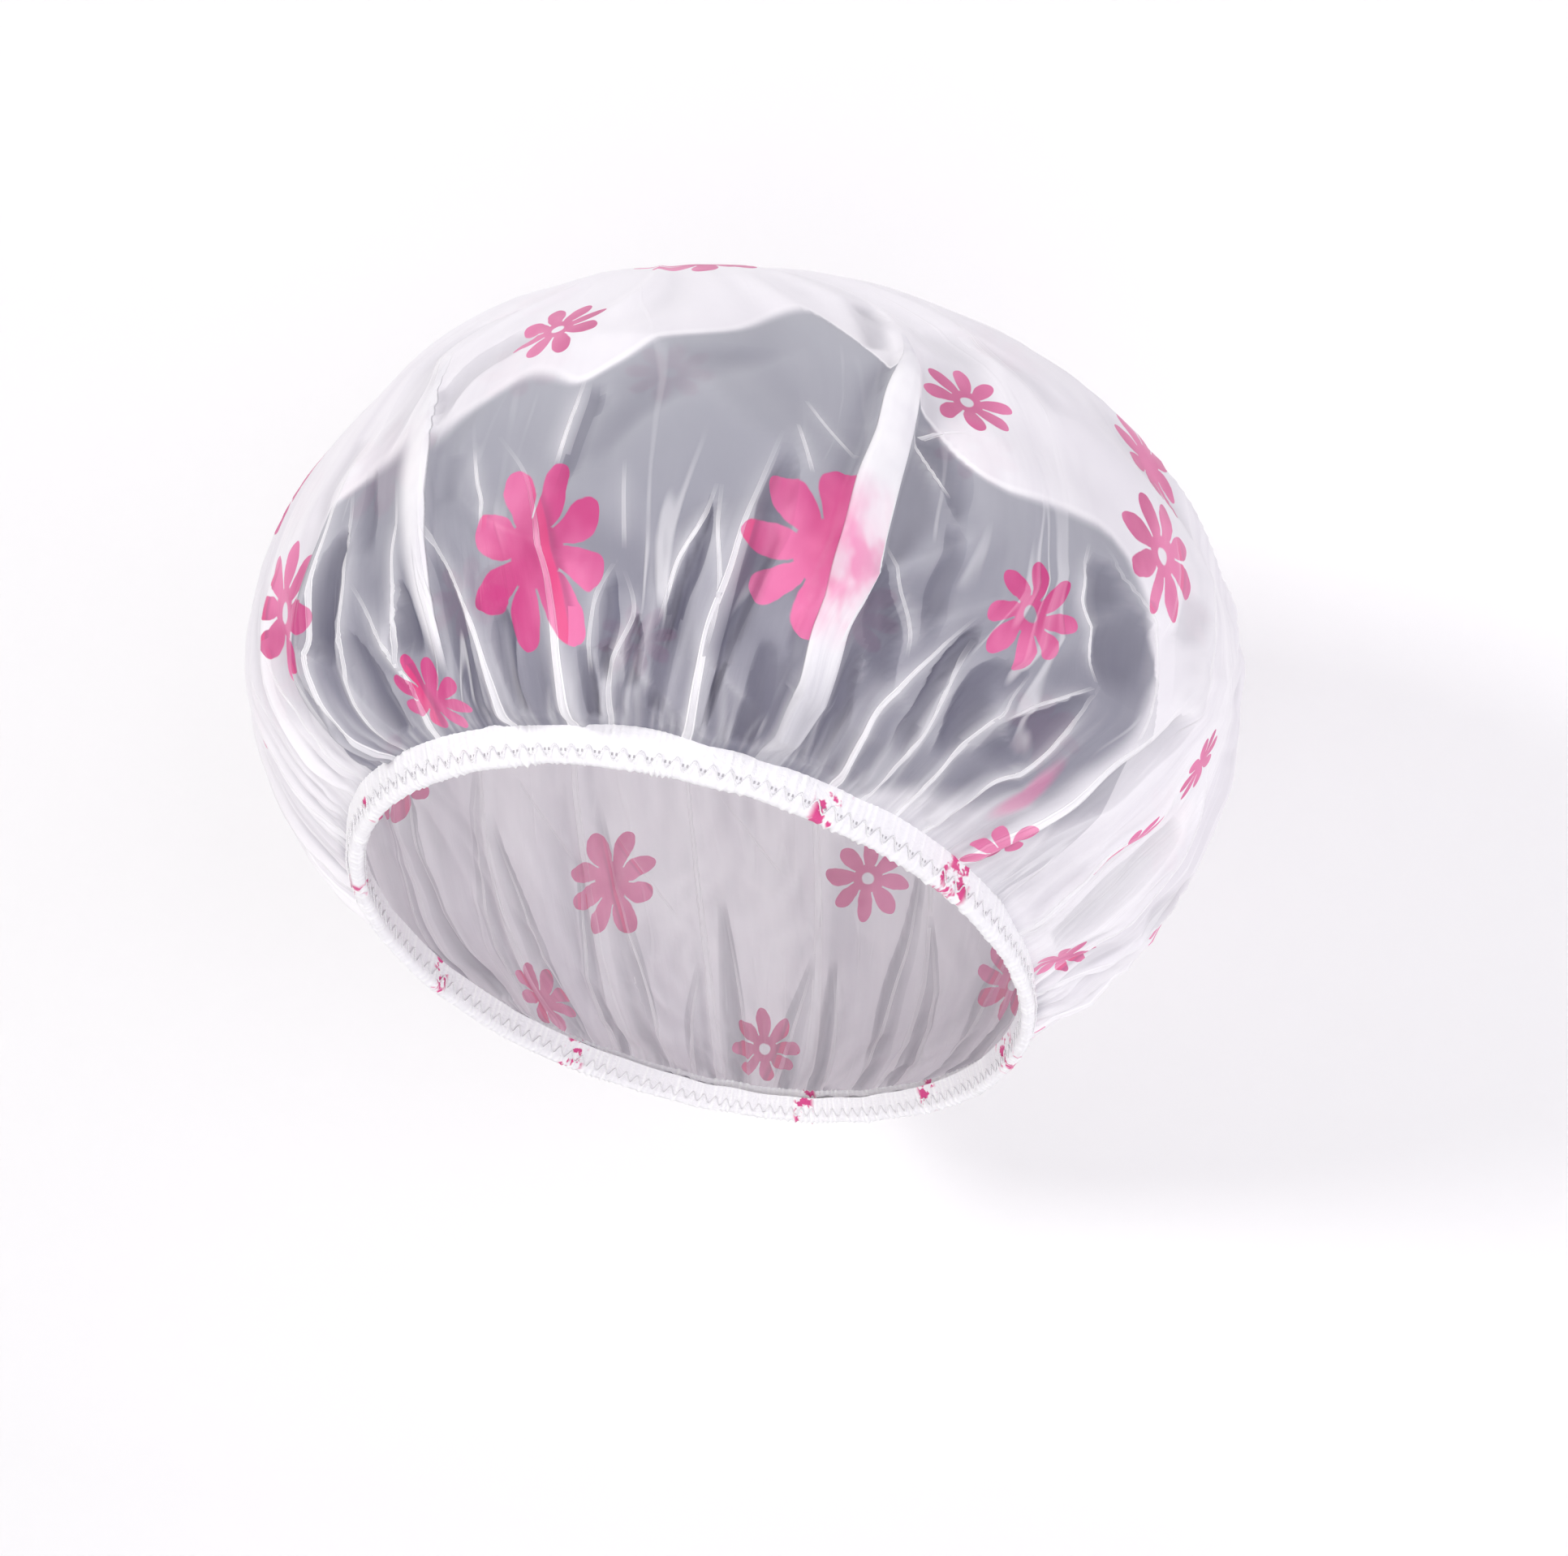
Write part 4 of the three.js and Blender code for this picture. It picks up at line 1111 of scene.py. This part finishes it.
def film_material():
    material, n, shader = new_material("soft_printed_film")
    disc = n.uv("disc")
    ink, glow, veiled_ink = printed_daisy(n, disc)
    ridge, valley, painted_skirt_light, climb = (n.attribute(name) for name in ("ridge", "valley", "painted_skirt_light", "climb"))
    stream = n.attribute("stream", "Vector")
    cloud = n.noise(n.scaled(stream, (1, 1, 0.8)), 5.0, 4.0, 0.6)
    # Crinkles: thin lines that wander up the film
    wander = n.band(n.noise(n.scaled(stream, (1, 1, 0.4)), 8.0), 0.5, 0.020, 0.004)
    crinkle = n.times(wander, n.ramp(n.noise(disc, 26.0), 0.46, 0.60))
    crinkle = n.times(crinkle, n.ramp(climb, 0.46, 0.30, 0.25, 0.85))
    streaks = n.noise(n.scaled(stream, (1, 1, 0.22)), 60.0, 3.0, 0.6)
    streaks = n.mix_value(n.ramp(climb, 0.10, 0.42), streaks, n.noise(disc, 55.0, 3.0))
    # Millimetres past the clear part's edges: there the film is milky, with a white line at the upper one,
    # painted both as a fold's whiter film and as a highlight
    past, below = (n.times(n.attribute(name), EDGE_REACH * 1000) for name in ("past_edge", "below_edge"))
    veil = n.most(n.ramp(past, -1.6, 1.4), n.times(n.ramp(below, -5.0, 5.0), 0.66))
    contact = n.times(n.band(past, 1.0, 1.5, 0.2), n.attribute("edge_light"))
    # Crests: a white ribbon, partly the film turned there and partly painted highlight, with a soft painted
    # light on the skirt beside it
    crest_x, crest_white = n.split(n.uv("crest"))
    crest_x = n.times(crest_x, 1 / MAP_UNIT)
    beside = n.size_of(crest_x)
    line = n.times(n.ramp(beside, 1.25, 0.75), crest_white)
    rib = n.times(n.band(beside, 0.85, 0.35, 0.1), crest_white)
    hollow_shade = painted_hollow_shade(n)
    layered, pleat_edge = pleat_marks(n, stream)
    # Film tone
    clear = n.blend(n.ramp(climb, 0.05, 0.62), CLEAR_LOW, CLEAR_HIGH)
    clear = n.blend(n.ramp(cloud, 0.3, 0.7, 0.0, 0.42), clear, CLEAR_CLOUD)
    milky = n.blend(n.ramp(cloud, 0.3, 0.7), MILKY_GREY, MILKY_WHITE)
    milky = n.blend(n.ramp(climb, 0.45, 0.85), milky, TOP_WHITE)
    tone = n.blend(veil, clear, milky)
    # Painted light beside the crests
    tone = n.blend(n.times(painted_skirt_light, 0.36), tone, SURROUND)
    # Painted shade in the pockets between crests, weaker on the milky film
    depth = n.times(hollow_shade, n.ramp(streaks, 0.3, 0.7, 0.8, 1.0))
    depth = n.times(depth, n.mix_value(veil, 0.85, 0.42))
    tone = n.blend(depth, tone, PAINTED_POCKET_SHADE)
    # Painted shade along the valleys between the folds, strongest near the hem
    groove_shade = n.times(n.mix_value(veil, 0.34, 0.2), n.ramp(climb, 0.16, 0.02, 1.0, 1.9))
    tone = n.blend(n.times(valley, groove_shade), tone, PAINTED_GROOVE_SHADE)
    # Whiter film along crests, gathers, crinkles, the clear part's upper edge and pleats: partly the film
    # turned or layered there and partly painted highlight
    fold_and_highlight = n.times(ridge, 0.38)
    for part in (n.times(line, n.ramp(streaks, 0.35, 0.65, 0.6, 0.9)), rib, n.times(crinkle, 0.5),
                 n.times(contact, n.ramp(cloud, 0.35, 0.65, 0.5, 0.9)),
                 n.times(layered, n.ramp(streaks, 0.3, 0.7, 0.66, 0.86)), pleat_edge):
        fold_and_highlight = n.most(fold_and_highlight, part, clamp=True)
    tone = n.blend(fold_and_highlight, tone, FOLD_WHITE_AND_HIGHLIGHT)
    # Ink: darker in the painted shade of the pockets, a little paler under the painted highlight on crests,
    # and only a glow where it lies under more film
    pink_tone = n.blend(n.ramp(n.noise(disc, 34.0, 3.0), 0.34, 0.66), INK_DEEP, INK_PALE)
    pink_tone = n.blend(n.times(depth, 0.4), pink_tone, INK_IN_POCKET_SHADE)
    pink_tone = n.blend(n.times(veil, 0.2), pink_tone, INK_MILKY)
    # One flank of a crest catches the light through the ink, and the film beyond it is in its shade
    flank = n.times(n.ramp(crest_x, 0.8, 1.3), n.ramp(crest_x, 4.4, 3.4))
    shade = n.times(n.ramp(crest_x, 3.4, 4.4), n.ramp(crest_x, 7.4, 4.6))
    pink_tone = n.blend(n.times(n.times(flank, crest_white), 0.62), pink_tone, INK_FLANK)
    pink_tone = n.blend(n.times(n.times(shade, crest_white), 0.5), pink_tone, INK_SHADE)
    pink_tone = n.blend(n.times(fold_and_highlight, n.ramp(streaks, 0.4, 0.6, 0.35, 0.75)), pink_tone, INK_CREST_HIGHLIGHT)
    colour = n.blend(ink, tone, pink_tone)
    spots = n.ramp(n.noise(disc, 120.0, 2.0), 0.38, 0.62, 0.35, 1.0)
    glow = n.times(n.times(glow, spots), 0.8)
    washed = n.blend(n.ramp(streaks, 0.3, 0.7), PLEAT_GREY, PLEAT_WHITE)
    washed = n.blend(glow, washed, PLEAT_GLOW)
    colour = n.blend(layered, colour, washed)
    colour = n.blend(n.times(veiled_ink, 0.5), colour, VEILED_INK)
    n.feed(shader, "Base Color", colour)
    # The folds and the milky part let less through
    body = n.mix_value(veil, 0.87, 0.90)
    body = n.mix_value(n.most(fold_and_highlight, depth), body, 0.95)
    inside = n.add("ShaderNodeNewGeometry").outputs["Backfacing"]
    body = n.mix_value(n.most(ink, layered), body, n.mix_value(inside, 0.95, 0.84))
    graze = n.add("ShaderNodeLayerWeight", {"Blend": 0.22}).outputs["Facing"]
    alpha = n.mix_value(n.times(graze, 0.55), body, 0.95)
    n.feed(shader, "Alpha", alpha)
    n.feed(shader, "Roughness", n.ramp(n.noise(disc, 90.0, 3.0), 0.3, 0.7, 0.40, 0.55))
    shader.inputs["Specular IOR Level"].default_value = 0.35
    shader.inputs["IOR"].default_value = 1.48
    # Relief, in metres: fine wrinkles along the film, crests and pleat edges
    height = n.times(streaks, 0.0005)
    slack = n.add("ShaderNodeTexVoronoi", {"Vector": disc, "Scale": 34.0}, feature="F1").outputs["Distance"]
    for part, tall in ((layered, 0.0005), (rib, 0.0002), (crinkle, 0.0003), (slack, 0.0012)):
        height = n.plus(height, n.times(part, tall))
    n.relief(shader, height, 0.7)
    return material


def hem_material():
    material, n, shader = new_material("gathered_hem_film")
    along, across = n.split(n.uv("run"))
    ridge, tint = n.attribute("ruffle"), n.attribute("tint")
    place = n.add("ShaderNodeCombineXYZ", {0: along, 1: n.times(across, 0.18)}).outputs[0]
    blot = n.noise(place, 22.0, 3.0, 0.6)
    # Ink that the gathers have broken into strips
    ink = n.times(n.ramp(blot, 0.50, 0.56), n.ramp(tint, 0.15, 0.75))
    # Lighter on the ruffles' ridges and darker between them: painted light and shade
    white = n.blend(n.ramp(ridge, 0.0, 0.8), sRGB(246, 245, 248), sRGB(255, 255, 255))
    colour = n.blend(ink, white, sRGB(219, 66, 138))
    # Needle holes, in pairs along the lower part of the outer face, painted dark as the shade inside them
    beat = n.times(along, STITCH_COUNT / (10 * RING_LENGTH))
    pair = n.size_of(n.minus(n.math("FRACT", beat), 0.5))
    shaded_hole = n.times(n.band(pair, 0.12, 0.075, 0.03), n.band(across, 0.355, 0.022, 0.010))
    colour = n.blend(n.times(shaded_hole, 0.7), colour, sRGB(150, 146, 152))
    n.feed(shader, "Base Color", colour)
    n.feed(shader, "Alpha", n.ramp(across, 0.0, 0.05, 0.80, 0.97))
    n.feed(shader, "Roughness", n.ramp(blot, 0.3, 0.7, 0.32, 0.5))
    fine = n.noise(place, 120.0, 2.0)
    n.relief(shader, n.minus(n.times(fine, 0.0004), n.times(shaded_hole, 0.0003)), 0.6)
    return material


def thread_material():
    material, n, shader = new_material("white_polyester_thread")
    along, around = n.split(n.uv("run"))
    twist = n.math("SINE", n.plus(n.times(along, 2600.0), n.times(around, 4 * math.pi)))
    # Lighter on the twist's crests and darker in its grooves: painted light and shade
    colour = n.blend(n.ramp(twist, -1.0, 1.0), sRGB(234, 232, 236), sRGB(253, 253, 253))
    n.feed(shader, "Base Color", colour)
    n.feed(shader, "Roughness", n.ramp(twist, -1.0, 1.0, 0.65, 0.5))
    n.relief(shader, n.times(twist, 0.00004), 0.6)
    return material


def elastic_material():
    material, n, shader = new_material("woven_elastic")
    along, around = n.split(n.uv("run"))
    ribs = n.math("SINE", n.times(around, 2 * math.pi * 22))
    picks = n.math("SINE", n.times(along, 2 * math.pi * 140))
    weave = n.times(n.plus(ribs, picks), 0.25)
    colour = n.blend(n.ramp(weave, -0.5, 0.5), sRGB(206, 204, 200), sRGB(246, 245, 242))
    n.feed(shader, "Base Color", colour)
    n.feed(shader, "Roughness", n.ramp(weave, -0.5, 0.5, 0.9, 0.75))
    n.relief(shader, n.times(weave, 0.00015), 0.7)
    return material


thread = thread_material()
for piece, material in ((film, film_material()), (hem, hem_material()), (elastic, elastic_material()),
                        (needle_thread, thread), (bobbin_thread, thread)):
    piece.data.materials.append(material)


# Stage: one pale sheet that is the floor and rises behind as the backdrop
FLOOR_HEIGHT, FLOOR_RUN, FLOOR_WIDTH = -0.40, 2.2, 5
BEND_RADIUS, WALL_PLACE, WALL_RISE = 0.30, 0.21, 2.0


def backdrop_profile(run):
    """Place and height of the sheet at a length along it: floor, bend and wall"""
    bend = BEND_RADIUS * math.pi / 2
    if run < FLOOR_RUN:
        return WALL_PLACE - BEND_RADIUS - (FLOOR_RUN - run), FLOOR_HEIGHT
    if run < FLOOR_RUN + bend:
        a = (run - FLOOR_RUN) / BEND_RADIUS
        return WALL_PLACE - BEND_RADIUS * (1 - math.sin(a)), FLOOR_HEIGHT + BEND_RADIUS * (1 - math.cos(a))
    return WALL_PLACE, FLOOR_HEIGHT + BEND_RADIUS + run - FLOOR_RUN - bend


def make_backdrop():
    mesh = bpy.data.meshes.new("backdrop")
    shape = bmesh.new()
    bmesh.ops.create_grid(shape, x_segments=8, y_segments=48, size=0.5)
    for vert in shape.verts:
        run = (vert.co.y + 0.5) * (FLOOR_RUN + BEND_RADIUS * math.pi / 2 + WALL_RISE)
        vert.co = (vert.co.x * FLOOR_WIDTH, *backdrop_profile(run))
    # The faces look up and towards the brow side
    shape.normal_update()
    shape.faces.ensure_lookup_table()
    if shape.faces[0].normal.z < 0:
        bmesh.ops.reverse_faces(shape, faces=shape.faces)
    shape.to_mesh(mesh)
    shape.free()
    piece = smooth_piece(mesh, "backdrop")
    material, n, shader = new_material("pale_paint")
    place = n.object_place()
    n.feed(shader, "Base Color", n.blend(n.noise(place, 3.0), sRGB(247, 247, 247), sRGB(250, 250, 250)))
    shader.inputs["Roughness"].default_value = 0.9
    shader.inputs["Specular IOR Level"].default_value = 0.2
    # Far from the cap the camera sees it as pale as the surround, and from behind it lets the view through
    white = n.add("ShaderNodeEmission", {"Color": SURROUND, "Strength": 1.0})
    away = n.add("ShaderNodeVectorMath", {0: place}, operation="LENGTH").outputs["Value"]
    seen = n.times(n.add("ShaderNodeLightPath").outputs["Is Camera Ray"], n.ramp(away, 0.65, 1.5, 0.06, 1.0))
    lit = n.add("ShaderNodeMixShader", {0: seen, 1: shader.outputs[0], 2: white.outputs[0]})
    behind = n.add("ShaderNodeNewGeometry").outputs["Backfacing"]
    clear = n.add("ShaderNodeBsdfTransparent")
    mix = n.add("ShaderNodeMixShader", {0: behind, 1: lit.outputs[0], 2: clear.outputs[0]})
    n.feed(material.node_tree.nodes["Material Output"], "Surface", mix.outputs[0])
    mesh.materials.append(material)


make_backdrop()


# Lamps: name, place, point they face, power, size, colour
LAMPS = [
    ("main_lamp", (-0.75, -1.2, 0.62), (0, 0.05, 0.03), 8.6, 0.30, (1.0, 0.99, 0.97)),
    ("fill_lamp", (1.05, -0.9, 0.25), (0, 0, 0.04), 6.5, 0.9, (0.97, 0.96, 1.0)),
    ("low_lamp", (0.3, -1.2, -0.25), (0, 0, 0), 3.4, 0.7, (1.0, 0.98, 0.99)),
    ("top_lamp", (-0.3, 0.0, 1.1), (0, 0.05, 0.1), 1.8, 0.6, (0.97, 0.98, 1.0)),
]
for name, place, faced, power, size, colour in LAMPS:
    lamp = bpy.data.lights.new(name, "AREA")
    lamp.energy, lamp.size, lamp.color = power, size, colour
    holder = bpy.data.objects.new(name, lamp)
    holder.location = place
    holder.rotation_euler = (Vector(faced) - Vector(place)).to_track_quat("-Z", "Y").to_euler()
    bpy.context.scene.collection.objects.link(holder)

# World: a pale lilac light, and a pale background where the camera looks past the backdrop
world = bpy.data.worlds.new("studio")
world.use_nodes = True
light = world.node_tree.nodes["Background"]
light.inputs["Color"].default_value = (0.98, 0.94, 1.0, 1)
light.inputs["Strength"].default_value = 0.38
n = Nodes(world.node_tree)
pale = n.add("ShaderNodeBackground", {"Color": SURROUND, "Strength": 1.0})
mix = n.add("ShaderNodeMixShader", {0: n.add("ShaderNodeLightPath").outputs["Is Camera Ray"],
                                    1: light.outputs[0], 2: pale.outputs[0]})
n.feed(world.node_tree.nodes["World Output"], "Surface", mix.outputs[0])
bpy.context.scene.world = world
bpy.context.scene.view_settings.view_transform = "Standard"

# Camera at the photograph's viewing angle: its place round the opening's middle, then heading, pitch and roll
AZIMUTH, ELEVATION, DISTANCE = math.radians(18), math.radians(10.2), 0.457
AIM = ((15.45, "Z"), (-4.67, "X"), (1.79, "Y"), (90, "X"))
camera = bpy.data.cameras.new("camera")
camera.lens, camera.sensor_width = 43.3, 36
camera.clip_start = 0.01
holder = bpy.data.objects.new("camera", camera)
holder.location = (DISTANCE * math.sin(AZIMUTH) * math.cos(ELEVATION),
                   -DISTANCE * math.cos(AZIMUTH) * math.cos(ELEVATION),
                   DISTANCE * math.sin(ELEVATION))
aim = Matrix.Identity(3)
for degrees, axis in AIM:
    aim = aim @ Matrix.Rotation(math.radians(degrees), 3, axis)
holder.rotation_euler = aim.to_euler()
bpy.context.scene.collection.objects.link(holder)
bpy.context.scene.camera = holder
